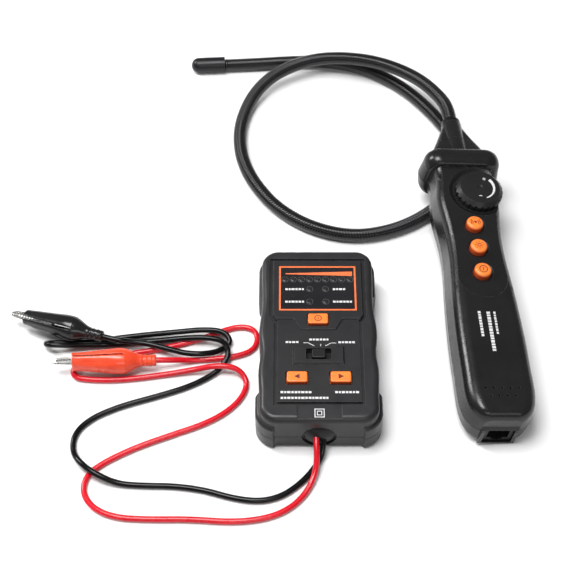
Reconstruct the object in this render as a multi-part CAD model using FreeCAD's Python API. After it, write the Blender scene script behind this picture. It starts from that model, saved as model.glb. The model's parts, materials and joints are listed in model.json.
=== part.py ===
import FreeCAD, Part
import math
import os

# Tone probe kit: a transmitter with two clip leads, and a receiver with a gooseneck probe.
# Millimetres. Origin: centre of the transmitter's underside. +Z up, +Y towards the
# transmitter's far end, +X to the right, where the receiver lies.

Vector = FreeCAD.Vector
UP = Vector(0, 0, 1)
BIG = 400.0                 # larger than any piece, for half-space cuts
SLIDE_GAP = 0.35            # clearance of a button in its hole, each side

# Transmitter block
TX_END_Y = 57.5             # main block's end faces
TX_HEIGHT = 28.0
TX_SEAM_Z = 10.5
TX_WALL = 2.4
TX_FLOOR = 2.2
TX_CEILING_Z = 25.4
TX_CORNER_Y = 48.0          # corner arcs begin here
TX_SIDE = [                 # half-width of the finger-waisted side at each y
    (48.0, 31.6), (32.0, 31.4), (19.0, 31.2), (5.0, 32.6), (-4.0, 32.6),
    (-12.0, 31.8), (-24.0, 32.8), (-38.0, 32.3), (-48.0, 32.2),
]
SEAM_GAP = 0.4
TONGUE_RISE = 1.9

# Corner bumpers: half-width, end y, plan corner radius, height
NEAR_BUMPER = (34.5, -59.0, 12.0, 20.5)
FAR_BUMPER = (33.4, 59.0, 11.0, 20.5)

# Face panel and display bezel
PANEL_HALF_W = 22.7
PANEL_NEAR_Y = -46.2
PANEL_BED_Z = 26.6
PANEL_TOP_Z = 28.0
BEZEL_TOP_Z = 28.8
BEZEL_HALF_W = 25.4
BEZEL_FAR_Y = 48.9
BEZEL_NEAR_Y = 7.7
BEZEL_TAB_Y = 0.5
MOAT = 1.8                  # dark channel round the panel
WINDOW = (22.0, 13.4, 45.1)     # half-width, near y, far y
WINDOW_BED_Z = 28.0

# Lamps
LAMP_R = 1.5
LAMP_HOLE_R = 1.7
SEQUENCE_COUNT = 9
SEQUENCE_PITCH = 4.6
SEQUENCE_Y = 35.4
STATUS_X = 4.5
STATUS_YS = (28.5, 19.7)

# Transmitter controls: centre x, centre y, top z
POWER_BUTTON = (0.0, 7.2, 30.3)
ARROW_X = 11.8
ARROW_Y = -30.9
ARROW_TOP_Z = 29.7
KEY_HALF = (5.6, 3.45)
KEY_FLANGE = (24.35, 25.25)     # flange's under and top faces
SWITCH_PLATE = (14.2, -22.4, -10.4, 29.2)   # half-width, near y, far y, top z
SWITCH_SLOT = (6.9, -19.6, -12.4)
KNOB = (3.7, -18.9, -13.1, 30.2)

# Transmitter inside
BOARD_Z = (20.3, 21.9)
BATTERY = (26.5, 48.5, 17.5)    # 9 V block: width, length, thickness
STUD_R = 3.0
STUD_LONG = 2.6
SCREW_XY = [(-25.5, -49.0), (25.5, -49.0), (-25.5, 48.5), (25.5, 48.5)]

# Lead outlet
OUTLET_Z = 11.0
OUTLET_R = 9.3

# Leads
LEAD_D = 3.3
RED_LEAD = [
    (-1.7, -57.0, 12.0), (-1.5, -63.0, 10.6), (-1.2, -69.5, 7.2), (-2.6, -77.5, 3.2),
    (-8.0, -88.0, 1.65), (-17.0, -96.5, 1.65), (-29.0, -101.5, 1.65), (-46.0, -103.4, 1.65),
    (-68.0, -101.6, 1.65), (-90.0, -101.8, 1.65), (-107.0, -100.8, 1.65),
    (-119.0, -95.6, 1.65), (-125.6, -86.5, 1.65), (-124.6, -76.0, 1.65),
    (-116.5, -68.4, 1.65), (-100.0, -59.0, 1.65), (-80.0, -50.8, 1.65),
    (-62.6, -44.0, 1.65), (-49.8, -35.8, 1.65), (-41.6, -25.8, 1.65), (-39.4, -16.0, 1.9),
    (-45.0, -9.6, 5.4), (-56.0, -8.6, 6.9), (-70.0, -9.2, 3.0), (-86.0, -11.6, 1.65),
    (-104.0, -14.4, 1.65), (-117.0, -15.4, 1.65), (-127.5, -15.0, 1.65),
    (-136.1, -13.9, 1.65), (-138.6, -9.3, 1.65), (-136.1, -4.7, 1.65),
    (-127.5, -2.6, 1.65), (-113.0, 1.8, 1.65), (-97.0, 4.2, 1.65), (-80.0, 8.4, 1.65),
    (-66.0, 13.2, 1.65), (-54.0, 18.8, 1.65), (-44.2, 21.8, 1.65), (-36.2, 19.8, 1.65),
    (-33.8, 12.4, 1.65), (-36.6, 4.9, 1.65), (-45.8, 0.8, 1.65), (-58.0, -1.0, 1.65),
    (-71.0, -1.8, 1.65),
]
BLACK_LEAD = [
    (2.4, -57.0, 10.0), (2.3, -61.0, 7.6), (0.9, -66.5, 3.0), (-4.6, -74.5, 1.65),
    (-12.0, -82.5, 1.65), (-21.0, -88.8, 1.65), (-32.5, -91.4, 1.65), (-46.0, -89.4, 1.65),
    (-61.0, -84.6, 1.65), (-77.0, -82.2, 1.65), (-93.0, -82.0, 1.65), (-107.0, -81.2, 2.0),
    (-118.4, -77.6, 5.6), (-127.9, -70.6, 5.6), (-133.6, -60.8, 1.8), (-133.2, -49.6, 1.65),
    (-124.8, -40.0, 1.65), (-109.0, -32.2, 1.65), (-90.0, -26.2, 1.65),
    (-72.5, -19.8, 1.65), (-60.6, -12.9, 1.65), (-53.6, -6.9, 3.0), (-49.9, 0.1, 6.0),
    (-52.9, 8.0, 6.2), (-61.0, 11.0, 5.6), (-73.0, 11.4, 5.2), (-88.0, 10.9, 3.2),
    (-103.0, 10.4, 1.65), (-119.0, 8.6, 1.65), (-134.0, 6.9, 3.6), (-145.4, 5.2, 6.6),
    (-153.0, 5.0, 7.2), (-155.3, 7.6, 4.4), (-153.0, 10.2, 1.65), (-145.4, 10.3, 1.65),
    (-130.0, 10.7, 1.65), (-114.0, 13.6, 1.65), (-98.0, 14.9, 3.0), (-82.0, 15.2, 5.0),
    (-66.0, 16.8, 5.6), (-53.6, 16.0, 5.2), (-48.9, 9.8, 2.9), (-55.4, 4.4, 1.9),
    (-63.8, -0.5, 5.9), (-75.0, 0.0, 5.8), (-86.5, 3.9, 5.5), (-97.5, 6.8, 6.0),
    (-106.5, 7.2, 7.2),
]

# Clips, each: pivot's place, heading of the jaws, nose-up pitch, roll about the clip's
# length, how far the boot is pushed forward on the jaws, half of the slit in the boot
TIP_X = 22.0
NECK_X = -36.0
RED_CLIP = ((-126.7, -7.8, 9.3), 183.6, 3.3, 0.0, 0.0, 0.3)
BLACK_CLIP = ((-154.2, 18.8, 9.64), 163.6, 0.75, 144.0, 2.5, 0.7)
JAW_SHEET = 0.6
PIN_R = 0.95
BOOT_PROFILE = [            # x, half-width along the pivot, half-height across the slit
    (11.0, 6.2, 4.3), (4.0, 6.45, 5.2), (-3.0, 6.8, 6.0), (-10.0, 7.2, 6.9),
    (-15.5, 7.35, 7.35), (-20.0, 6.6, 6.6), (-24.5, 4.5, 4.5), (-29.0, 3.3, 3.3),
    (NECK_X, 2.8, 2.8),
]
BOOT_WALL = 0.95
NECK_PLUG = 3.0             # length of the neck that is closed on the lead
FLAP_END_X = -18.0
FLAP_GAP = 0.1

# Receiver, in its own frame: y from the tail to the nose, z up from its underside
RX_PLACE = (95.7, -56.0, 0.92)
RX_YAW = 3.2
RX_TILT = 2.75              # its guard lies on the gooseneck, which lifts the nose
RX_ROLL = 6.05              # and its left side
RX_SEAM_Z = 13.0
RX_WALL = 2.2
TOP_DRAFT = 0.06            # share of the half-width lost from the seam to the top
LOW_DRAFT = 0.03
RX_BODY = [                 # y, half-width, underside z, top z, corner radius
    (1.4, 11.0, 1.0, 23.5, 4.0), (2.6, 13.6, 0.5, 26.4, 5.0), (5.2, 16.6, 0.1, 28.2, 6.0),
    (10.0, 19.2, 0.0, 28.9, 6.8), (17.0, 20.6, 0.0, 29.0, 7.0), (30.0, 20.8, 0.0, 29.0, 7.0),
    (49.0, 20.8, 0.0, 29.0, 7.0), (69.0, 20.2, 0.0, 29.0, 7.0), (90.0, 19.0, 0.0, 29.0, 7.0),
    (107.0, 17.7, 0.0, 29.0, 7.0), (121.0, 17.6, 0.0, 29.0, 7.0), (136.0, 18.9, 0.0, 29.0, 7.0),
    (152.0, 19.9, 0.0, 29.0, 7.0), (174.0, 20.2, 0.0, 29.0, 7.0),
]
RX_GUARD = [
    (171.6, 21.0, 0.4, 29.4, 7.5), (173.0, 23.2, -0.3, 31.0, 8.5), (175.5, 24.3, -0.6, 32.0, 9.0),
    (180.5, 24.3, -0.6, 32.0, 9.0), (183.0, 23.2, -0.3, 31.0, 8.5), (184.4, 20.4, 1.5, 28.4, 7.5),
]
RX_NOSE = [
    (183.0, 18.6, 3.0, 26.4, 6.0), (190.0, 16.4, 5.0, 24.4, 4.5), (198.0, 12.6, 7.4, 22.0, 3.2),
]
RX_CAP = [
    (198.5, 12.4, 7.6, 21.8, 3.2), (206.0, 9.2, 9.4, 20.0, 2.8), (215.0, 5.2, 11.2, 18.4, 2.2),
]
RX_HOLLOW_Y = (10.0, 170.0)
NOSE_AXIS_Z = 15.6
RIDGE = ((181.0, 22.4, 5.2), (216.5, 15.3, 6.2))    # y, z, radius at the ridge's ends
CAP_Y = 198.25
FERRULE = (214.0, 218.0, 5.8)           # near y, far y, radius

# Receiver face
TONGUE_Z = 28.0
TONGUE_HALF_W = 14.2
TONGUE_NEAR_Y = 77.0
DIAL = (6.2, 153.2)
DIAL_R = 14.2
DIAL_BEVEL = 2.4
DIAL_Z = (26.9, 32.0)
DIAL_WELL_R = (15.2, 18.0)
DIAL_FLOOR_Z = 26.4
DIAL_KNURLS = 24
POT_SHAFT_R = 3.0
SPIN_GAP = 0.05
RX_KEY_YS = (127.7, 111.2, 94.4)
RX_KEY_R = 5.0
RX_KEY_TOP_Z = 31.4
RX_KEY_FLANGE = (24.35, 25.25)
RX_PAD_Z = 25.4
DISH_R = 21.0
DISH_DEPTH = 1.2
VENT_R = 0.6
VENT_ROWS = ((18.4, 5), (13.7, 4))
VENT_PITCH = 4.6
RX_BOARD_Z = (20.0, 21.6)
RX_BATTERY_Y = 22.5
RX_SCREW_XY = [(-13.2, 84.0), (13.2, 84.0), (-13.8, 164.0), (13.8, 164.0)]

# Tail socket and the transmitter's network socket share one jack
JACK = (16.0, 13.0, 12.4)       # width, depth, height
JACK_MOUTH = (11.8, 11.0, 7.6)

# Gooseneck
NECK_D = 8.4
NECK_STRAIGHT = 11.0        # straight run out of the ferrule
GOOSENECK = [
    (80.6, 184.0, 25.8), (70.8, 201.8, 22.5), (57.0, 216.2, 19.4), (40.0, 226.6, 17.2),
    (21.0, 231.9, 15.4), (3.0, 232.0, 14.4), (-13.5, 226.6, 13.2), (-28.5, 218.2, 10.6),
    (-39.2, 206.4, 6.8), (-45.8, 190.0, 4.4), (-48.4, 171.0, 4.2), (-46.0, 150.0, 4.2),
    (-38.2, 130.0, 4.2), (-23.6, 108.8, 4.2), (-2.0, 93.2, 4.2), (24.0, 86.3, 4.2),
    (51.0, 92.4, 4.2), (73.5, 107.4, 4.2), (89.4, 126.6, 4.2), (94.8, 149.0, 4.2),
    (88.6, 172.5, 4.2), (75.6, 195.6, 4.2), (57.8, 217.6, 4.2), (35.4, 233.4, 4.2),
    (9.5, 240.6, 4.2), (-17.5, 239.6, 4.2), (-39.0, 237.6, 4.2), (-59.3, 236.4, 4.2),
]
TIP_R = 5.1
TIP_LONG = 22.5
TIP_Z = 5.1

NODES = {}


# ------------------------------------------------------------------ helpers
def slab(x, y, z):
    """A box between the low and high values given for each axis."""
    return Part.makeBox(x[1] - x[0], y[1] - y[0], z[1] - z[0], Vector(x[0], y[0], z[0]))


def prism(points, z):
    """A polygon in plan, stood between two heights."""
    corners = [Vector(px, py, z[0]) for px, py in points]
    face = Part.Face(Part.makePolygon(corners + corners[:1]))
    return face.extrude(Vector(0, 0, z[1] - z[0]))


def rod(radius, start, end):
    """A round bar from one point to another."""
    a, b = Vector(*start), Vector(*end)
    return Part.makeCylinder(radius, (b - a).Length, a, b - a)


def tablet(x, y, z, radius):
    """A box whose four upright edges are rounded."""
    block = slab(x, y, z)
    upright = [e for e in block.Edges if abs(e.tangentAt(e.FirstParameter).z) > 0.9]
    return block.makeFillet(radius, upright)


def edges_at_z(shape, z):
    """The edges that lie wholly in one level plane."""
    return [
        e for e in shape.Edges
        if abs(e.BoundBox.ZMin - z) < 0.01 and abs(e.BoundBox.ZMax - z) < 0.01
    ]


def edges_at_y(shape, y):
    """The edges that lie wholly in one plane across the piece."""
    return [
        e for e in shape.Edges
        if abs(e.BoundBox.YMin - y) < 0.01 and abs(e.BoundBox.YMax - y) < 0.01
    ]


def mirrored_x(shape):
    return shape.mirror(Vector(0, 0, 0), Vector(1, 0, 0))


def group(shapes):
    return Part.makeCompound(shapes)


def keep(name, shape, place=None):
    """Put a finished piece in its node, moved to where it lies."""
    solid = shape.copy()
    if place is not None:
        solid.Placement = place.multiply(solid.Placement)
    NODES[name] = solid


# -------------------------------------------------------------- transmitter
def transmitter_outline(inset):
    """Plan outline of the transmitter's block, drawn in on every side."""
    side = [Vector(w - inset, y, 0) for y, w in TX_SIDE]
    right = Part.BSplineCurve()
    right.interpolate(Points=side, InitialTangent=Vector(0, -1, 0),
                      FinalTangent=Vector(0, -1, 0))
    right = right.toShape()
    left = mirrored_x(right)
    edges = [right, left]
    for sign, w in ((1, TX_SIDE[0][1]), (-1, TX_SIDE[-1][1])):
        radius = TX_END_Y - TX_CORNER_Y - inset
        centre = Vector(w - inset - radius, sign * TX_CORNER_Y, 0)
        start = centre + Vector(radius, 0, 0)
        end = centre + Vector(0, sign * radius, 0)
        diagonal = Vector(1, sign, 0).normalize() * radius
        corner = Part.Arc(start, centre + diagonal, end).toShape()
        edges += [corner, mirrored_x(corner)]
        edges.append(Part.LineSegment(end, Vector(-end.x, end.y, 0)).toShape())
    return Part.Face(Part.Wire(Part.__sortEdges__(edges)))


def transmitter_block(inset, z):
    """The block's outline stood between two heights."""
    face = transmitter_outline(inset)
    face.translate(Vector(0, 0, z[0]))
    return face.extrude(Vector(0, 0, z[1] - z[0]))


def corner_bumper(half_w, end_y, radius, height):
    """One thick corner of the case on the right: it wraps from the side to the end face."""
    sign = 1 if end_y > 0 else -1
    block = tablet((-half_w, half_w), (-abs(end_y), abs(end_y)), (0, height), radius)
    block = block.makeFillet(2.6, edges_at_z(block, height))
    block = block.makeFillet(2.2, edges_at_z(block, 0))
    mask = [
        (22.5, 56.0), (27.0, 61.0), (40.0, 61.0), (40.0, 43.0), (31.0, 34.0), (22.5, 34.0),
    ]
    if sign > 0:
        mask[3:5] = [(40.0, 37.0), (31.0, 28.0)]
        mask[5] = (22.5, 28.0)
    corner = prism([(x, sign * y) for x, y in mask], (0, height))
    return block.common(corner)


def transmitter_solid():
    """The closed outer form: waisted block with four corner bumpers."""
    block = transmitter_block(0, (0, TX_HEIGHT))
    block = block.makeFillet(3.4, edges_at_z(block, TX_HEIGHT))
    block = block.makeFillet(2.2, edges_at_z(block, 0))
    bumpers = []
    for spec in (NEAR_BUMPER, FAR_BUMPER):
        corner = corner_bumper(*spec)
        bumpers += [corner, mirrored_x(corner)]
    return block.multiFuse(bumpers).removeSplitter()


def bezel_outline(grow):
    """Plan outline of the raised display bezel with its tab round the power button."""
    half = [
        (0, BEZEL_FAR_Y + grow), (BEZEL_HALF_W + grow, BEZEL_FAR_Y + grow),
        (BEZEL_HALF_W + grow, BEZEL_NEAR_Y + 2.8), (23.6 + grow, BEZEL_NEAR_Y - grow),
        (13.9 + grow, BEZEL_NEAR_Y - grow), (9.9 + grow, BEZEL_TAB_Y - grow),
        (0, BEZEL_TAB_Y - grow),
    ]
    return half[1:-1] + [(-x, y) for x, y in reversed(half[1:-1])]


def panel_plan(grow, z):
    """The whole face: the bezel's part and the narrower part below it."""
    upper = prism(bezel_outline(grow), z)
    lower = slab((-PANEL_HALF_W - grow, PANEL_HALF_W + grow),
                 (PANEL_NEAR_Y - grow, 20.0), z)
    return upper.fuse(lower).removeSplitter()


def key_hole(centre, gap, z):
    x, y = centre[0], centre[1]
    return tablet((x - KEY_HALF[0] - gap, x + KEY_HALF[0] + gap),
                  (y - KEY_HALF[1] - gap, y + KEY_HALF[1] + gap), z, 1.4)


def key_centres():
    return [POWER_BUTTON[:2], (-ARROW_X, ARROW_Y), (ARROW_X, ARROW_Y)]


def lamp_centres():
    half = (SEQUENCE_COUNT - 1) / 2
    row = [((i - half) * SEQUENCE_PITCH, SEQUENCE_Y) for i in range(SEQUENCE_COUNT)]
    status = [(sign * STATUS_X, y) for y in STATUS_YS for sign in (-1, 1)]
    return row, status


def outlet_bore(radius, y):
    return rod(radius, (0, y[0], OUTLET_Z), (0, y[1], OUTLET_Z))


def build_transmitter_case():
    """Front and back shells, joined by a tongue along the seam."""
    outer = transmitter_solid()
    cavity = transmitter_block(TX_WALL, (TX_FLOOR, TX_CEILING_Z))
    above = slab((-BIG, BIG), (-BIG, BIG), (TX_SEAM_Z + SEAM_GAP, BIG))
    below = slab((-BIG, BIG), (-BIG, BIG), (-BIG, TX_SEAM_Z))
    jack_hole = slab((-JACK[0] / 2 - 0.2, JACK[0] / 2 + 0.2), (50, 62), (6.3, 19.1))
    openings = [outlet_bore(OUTLET_R, (-62, -50)), jack_hole]

    front = outer.common(above).cut(cavity)
    rebate = transmitter_block(1.2, (TX_SEAM_Z, TX_SEAM_Z + TONGUE_RISE + 0.3))
    tools = [rebate, panel_plan(MOAT, (PANEL_BED_Z, 40))] + openings
    tools.append(slab((-12.0, 12.0), (-70, PANEL_NEAR_Y), (27.3, 40)))
    for centre in key_centres():
        tools.append(key_hole(centre, SLIDE_GAP, (20, 40)))
    tools.append(tablet((-SWITCH_SLOT[0], SWITCH_SLOT[0]), SWITCH_SLOT[1:], (20, 40), 1.0))
    front = front.cut(tools)
    posts = [rod(3.2, (x, y, TX_SEAM_Z + 3), (x, y, TX_CEILING_Z + 0.2)) for x, y in SCREW_XY]
    front = front.multiFuse([p.cut(rod(1.15, (x, y, 0), (x, y, 24))) for p, (x, y)
                             in zip(posts, SCREW_XY)])
    keep("transmitter_front_shell", front.removeSplitter())

    back = outer.common(below).cut(cavity)
    tongue = transmitter_block(1.35, (TX_SEAM_Z - 1, TX_SEAM_Z + TONGUE_RISE))
    ring = tongue.cut(transmitter_block(TX_WALL, (0, 40)))
    posts = [rod(3.2, (x, y, TX_FLOOR - 0.2), (x, y, TX_SEAM_Z + 2.8)) for x, y in SCREW_XY]
    back = back.multiFuse([ring] + posts)
    tools = list(openings)
    for x, y in SCREW_XY:
        tools.append(rod(1.3, (x, y, -1), (x, y, 20)))
        tools.append(rod(2.6, (x, y, -1), (x, y, 2.4)))
    tools.append(tablet((-17.3, 17.3), (-20.3, 42.3), (-1, TX_FLOOR + 1), 2.0))
    back = back.cut(tools)
    keep("transmitter_back_shell", back.removeSplitter())


def case_screw(x, y, head_z, length):
    """A pan-headed screw put in from below."""
    head = rod(2.4, (x, y, head_z), (x, y, head_z + 1.6))
    shank = rod(1.05, (x, y, head_z + 1.6), (x, y, head_z + length))
    slot = slab((x - 1.6, x + 1.6), (y - 0.3, y + 0.3), (head_z - 1, head_z + 0.7))
    cross = slab((x - 0.3, x + 0.3), (y - 1.6, y + 1.6), (head_z - 1, head_z + 0.7))
    return head.fuse(shank).cut([slot, cross])


def build_face():
    """Face panel, display bezel, smoked window and the lamps behind it."""
    row, status = lamp_centres()
    window_x = (-WINDOW[0], WINDOW[0])
    panel = panel_plan(0, (PANEL_BED_Z, PANEL_TOP_Z))
    plate_x = (-SWITCH_PLATE[0], SWITCH_PLATE[0])
    plate = slab(plate_x, SWITCH_PLATE[1:3], (PANEL_TOP_Z - 0.5, SWITCH_PLATE[3]))
    plate = plate.makeChamfer(1.0, edges_at_z(plate, SWITCH_PLATE[3]))
    panel = panel.fuse(plate)
    tools = [key_hole(c, 0.9, (20, 40)) for c in key_centres()[1:]]
    tools.append(key_hole(key_centres()[0], SLIDE_GAP, (20, 40)))
    tools.append(tablet((-SWITCH_SLOT[0], SWITCH_SLOT[0]), SWITCH_SLOT[1:], (20, 40), 1.0))
    tools += [rod(LAMP_HOLE_R, (x, y, 20), (x, y, 40)) for x, y in row + status]
    keep("face_panel", panel.cut(tools).removeSplitter())

    bezel = prism(bezel_outline(-0.1), (PANEL_TOP_Z, BEZEL_TOP_Z))
    bezel = bezel.makeChamfer(0.5, edges_at_z(bezel, BEZEL_TOP_Z))
    hole = key_hole(key_centres()[0], 0.9, (20, 40))
    frame = slab(window_x, WINDOW[1:], (20, 40))
    keep("display_bezel", bezel.cut([hole, frame]))

    pane = slab((-WINDOW[0] + 0.1, WINDOW[0] - 0.1), (WINDOW[1] + 0.1, WINDOW[2] - 0.1),
                (WINDOW_BED_Z, BEZEL_TOP_Z - 0.25))
    holes = [rod(LAMP_HOLE_R, (x, y, 20), (x, y, 40)) for x, y in row + status]
    keep("display_window", pane.cut(holes))
    keep("sequence_lamps", group([lamp(x, y) for x, y in row]))
    keep("status_lamps", group([lamp(x, y) for x, y in status]))


def lamp(x, y):
    """A lamp's lens, domed, that stands on the case's front wall."""
    body = rod(LAMP_R, (x, y, PANEL_BED_Z), (x, y, BEZEL_TOP_Z - 0.05))
    return body.makeFillet(0.6, edges_at_z(body, BEZEL_TOP_Z - 0.05))


def key(centre, top_z):
    """A rectangular push button with a flange that keeps it in the case."""
    x, y = centre
    cap = tablet((x - KEY_HALF[0], x + KEY_HALF[0]), (y - KEY_HALF[1], y + KEY_HALF[1]),
                 (KEY_FLANGE[0], top_z), 1.1)
    cap = cap.makeFillet(0.8, edges_at_z(cap, top_z))
    flange = slab((x - KEY_HALF[0] - 1.2, x + KEY_HALF[0] + 1.2),
                  (y - KEY_HALF[1] - 1.0, y + KEY_HALF[1] + 1.0), KEY_FLANGE)
    return cap.fuse(flange).removeSplitter()


def tact_switch(x, y, z):
    """A small board switch: square body and round plunger."""
    body = slab((x - 3, x + 3), (y - 3, y + 3), (z, z + 1.1))
    return body.fuse(rod(1.6, (x, y, z + 1.0), (x, y, z + 1.6)))


def build_controls():
    """Buttons, the mode slider and what they work on the board."""
    keep("transmitter_power_button", key(POWER_BUTTON[:2], POWER_BUTTON[2]))
    keep("left_arrow_button", key((-ARROW_X, ARROW_Y), ARROW_TOP_Z))
    keep("right_arrow_button", key((ARROW_X, ARROW_Y), ARROW_TOP_Z))
    switches = [tact_switch(x, y, BOARD_Z[1]) for x, y in key_centres()]
    keep("transmitter_tact_switches", group(switches))

    knob = tablet((-KNOB[0], KNOB[0]), KNOB[1:3], (24.4, KNOB[3]), 0.8)
    knob = knob.makeFillet(0.5, edges_at_z(knob, KNOB[3]))
    apron = slab((-10.4, 10.4), (-21.2, -10.8), (24.4, 25.2))
    stem = slab((-1.2, 1.2), (-17.4, -14.6), (23.2, 24.6))
    keep("mode_slider", knob.multiFuse([apron, stem]).removeSplitter())
    body = slab((-6.5, 6.5), (-19.0, -13.0), (BOARD_Z[1], 24.0))
    slot = slab((-4.6, 4.6), (-17.9, -14.1), (22.9, 30))
    keep("mode_switch_body", body.cut(slot))


def nine_volt(x, y, z):
    """A 9 V block battery whose two studs face the near end."""
    block = tablet((x - BATTERY[0] / 2, x + BATTERY[0] / 2), (y, y + BATTERY[1]),
                   (z, z + BATTERY[2]), 2.0)
    mid = z + BATTERY[2] / 2
    studs = [rod(STUD_R, (x + s * 6.3, y - STUD_LONG, mid), (x + s * 6.3, y + 1, mid))
             for s in (-1, 1)]
    return block.multiFuse(studs)


def snap_connector(x, y, z):
    """The plate that snaps on a block battery's studs."""
    mid = z + BATTERY[2] / 2
    plate = tablet((x - 12.5, x + 12.5), (y - STUD_LONG - 1.4, y - 0.1),
                   (mid - 6, mid + 6), 0.5)
    bores = [rod(STUD_R + 0.1, (x + s * 6.3, y - STUD_LONG - 0.1, mid),
                 (x + s * 6.3, y + 1, mid)) for s in (-1, 1)]
    return plate.cut(bores)


def jack():
    """A network socket with its mouth towards -Y and its latch notch below."""
    body = slab((-JACK[0] / 2, JACK[0] / 2), (0, JACK[1]), (0, JACK[2]))
    mouth = slab((-JACK_MOUTH[0] / 2, JACK_MOUTH[0] / 2), (-1, JACK_MOUTH[1]), (3.0, 3.0 + JACK_MOUTH[2]))
    notch = slab((-3.1, 3.1), (-1, JACK_MOUTH[1]), (1.6, 4.0))
    throat = slab((-1.7, 1.7), (-1, JACK_MOUTH[1]), (0.8, 2.0))
    return body.cut([mouth, notch, throat])


def build_transmitter_inside():
    """Board, battery, connector, door, screws, socket and the leads' grommet."""
    board = slab((-27.5, 27.5), (-43.0, 54.0), BOARD_Z)
    notches = [slab((x - 4, x + 4), (y - 4.5, y + 6), (15, 25)) for x, y in SCREW_XY]
    keep("transmitter_circuit_board", board.cut(notches))
    keep("transmitter_battery", nine_volt(0, -12.5, 2.3))
    keep("transmitter_battery_clip", snap_connector(0, -12.5, 2.3))
    door = tablet((-17, 17), (-20, 42), (0, 2.0), 1.8)
    ribs = [slab((-12, 12), (y, y + 1.2), (-1, 0.4)) for y in (30.0, 33.0, 36.0)]
    bore = rod(2.6, (0, -16.6, -1), (0, -16.6, 1.3))
    hole = rod(1.3, (0, -16.6, -1), (0, -16.6, 3))
    keep("transmitter_battery_door", door.cut(ribs + [bore, hole]))
    screws = [case_screw(x, y, 0.7, 18.0) for x, y in SCREW_XY]
    keep("transmitter_case_screws", group(screws))
    keep("transmitter_door_screw", rod(2.4, (0, -16.6, 0.3), (0, -16.6, 1.25)).fuse(
        rod(1.05, (0, -16.6, 1.2), (0, -16.6, 4.6))).cut(
        slab((-1.6, 1.6), (-16.9, -16.3), (0, 0.9))))
    place = FreeCAD.Placement(Vector(0, TX_END_Y - 0.4, 6.5), FreeCAD.Rotation(UP, 180))
    keep("network_socket", jack(), place)

    flange = outlet_bore(OUTLET_R + 1.6, (-54.9, -52.5)).common(
        slab((-BIG, BIG), (-BIG, BIG), (TX_FLOOR + 0.1, BIG)))
    barrel = outlet_bore(OUTLET_R - 0.2, (-56.6, -52.0))
    bulge_r = 15.0
    centre_y = -59.2 + bulge_r
    bulge = Part.makeSphere(bulge_r, Vector(0, centre_y, OUTLET_Z))
    dome = bulge.common(outlet_bore(OUTLET_R - 1.1, (-62, -54)))
    grommet = dome.multiFuse([barrel, flange])
    bores = [rod(LEAD_D / 2 + 0.02, lead[0], lead[1]) for lead in (RED_LEAD, BLACK_LEAD)]
    keep("lead_grommet", grommet.cut(bores).removeSplitter())


# ---------------------------------------------------------------- cords
def rounded_path(points):
    """Straight runs joined by tangent arcs. Returns the wire, its length and the radii."""
    p = [Vector(*q) for q in points]
    runs = [(b - a).Length for a, b in zip(p, p[1:])]
    edges, radii, at, length = [], [], p[0], 0.0
    for i in range(1, len(p) - 1):
        before = (p[i] - p[i - 1]).normalize()
        after = (p[i + 1] - p[i]).normalize()
        turn = before.getAngle(after)
        cut = 0.45 * min(runs[i - 1], runs[i])
        radius = cut / math.tan(turn / 2)
        start, end = p[i] - before * cut, p[i] + after * cut
        centre = p[i] + (after - before).normalize() * (radius / math.cos(turn / 2))
        middle = centre + (p[i] - centre).normalize() * radius
        edges.append(Part.LineSegment(at, start).toShape())
        edges.append(Part.Arc(start, middle, end).toShape())
        length += (start - at).Length + radius * turn
        radii.append(radius)
        at = end
    edges.append(Part.LineSegment(at, p[-1]).toShape())
    length += (p[-1] - at).Length
    return Part.Wire(edges), length, radii


def cord(name, points, diameter):
    """A plain tube along a route, with its section checked against its volume."""
    path, length, radii = rounded_path(points)
    first = Vector(*points[1]) - Vector(*points[0])
    circle = Part.makeCircle(diameter / 2, Vector(*points[0]), first)
    tube = path.makePipeShell([Part.Wire(circle)], True, False)
    expected = math.pi * diameter ** 2 / 4 * length
    print(name, "length", round(length, 1), "volume ratio", round(tube.Volume / expected, 4),
          "radii", [round(r, 1) for r in radii], "valid", tube.isValid())
    keep(name, tube)


# ---------------------------------------------------------------- clips
def clip_place(spec):
    """Where a clip lies: its +x is the jaws' heading, its z the pivot's axis."""
    at, heading, pitch, roll = spec[:4]
    turn = FreeCAD.Rotation(UP, heading)
    lift = FreeCAD.Rotation(Vector(0, 1, 0), -pitch)
    spin = FreeCAD.Rotation(Vector(1, 0, 0), roll)
    return FreeCAD.Placement(Vector(*at), turn.multiply(lift).multiply(spin))


def channel(sections, sheet):
    """A folded channel along x, open at its mating edge. Sections: x, half-width, depth."""
    def loft(inner):
        wires = []
        for x, half, depth in sections:
            h, d = half - inner * sheet, depth - inner * sheet
            low = 0.15 - inner * 1.0
            corners = [Vector(x, low, -h), Vector(x, low, h), Vector(x, d * 0.7, h),
                       Vector(x, d, h * 0.55), Vector(x, d, -h * 0.55),
                       Vector(x, d * 0.7, -h)]
            wires.append(Part.makePolygon(corners + corners[:1]))
        return Part.makeLoft(wires, True, True)
    return loft(0).cut(loft(1))


def teeth(low):
    """Notches that leave a row of teeth along a jaw's mating edges."""
    cuts = []
    for i in range(7):
        x = 9.0 + 1.6 * i
        wedge = Part.Face(Part.makePolygon([
            Vector(x - 0.8, low, -6), Vector(x, low + 1.0, -6), Vector(x + 0.8, low, -6),
            Vector(x - 0.8, low, -6)]))
        cuts.append(wedge.extrude(Vector(0, 0, 12)))
    return cuts


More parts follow.
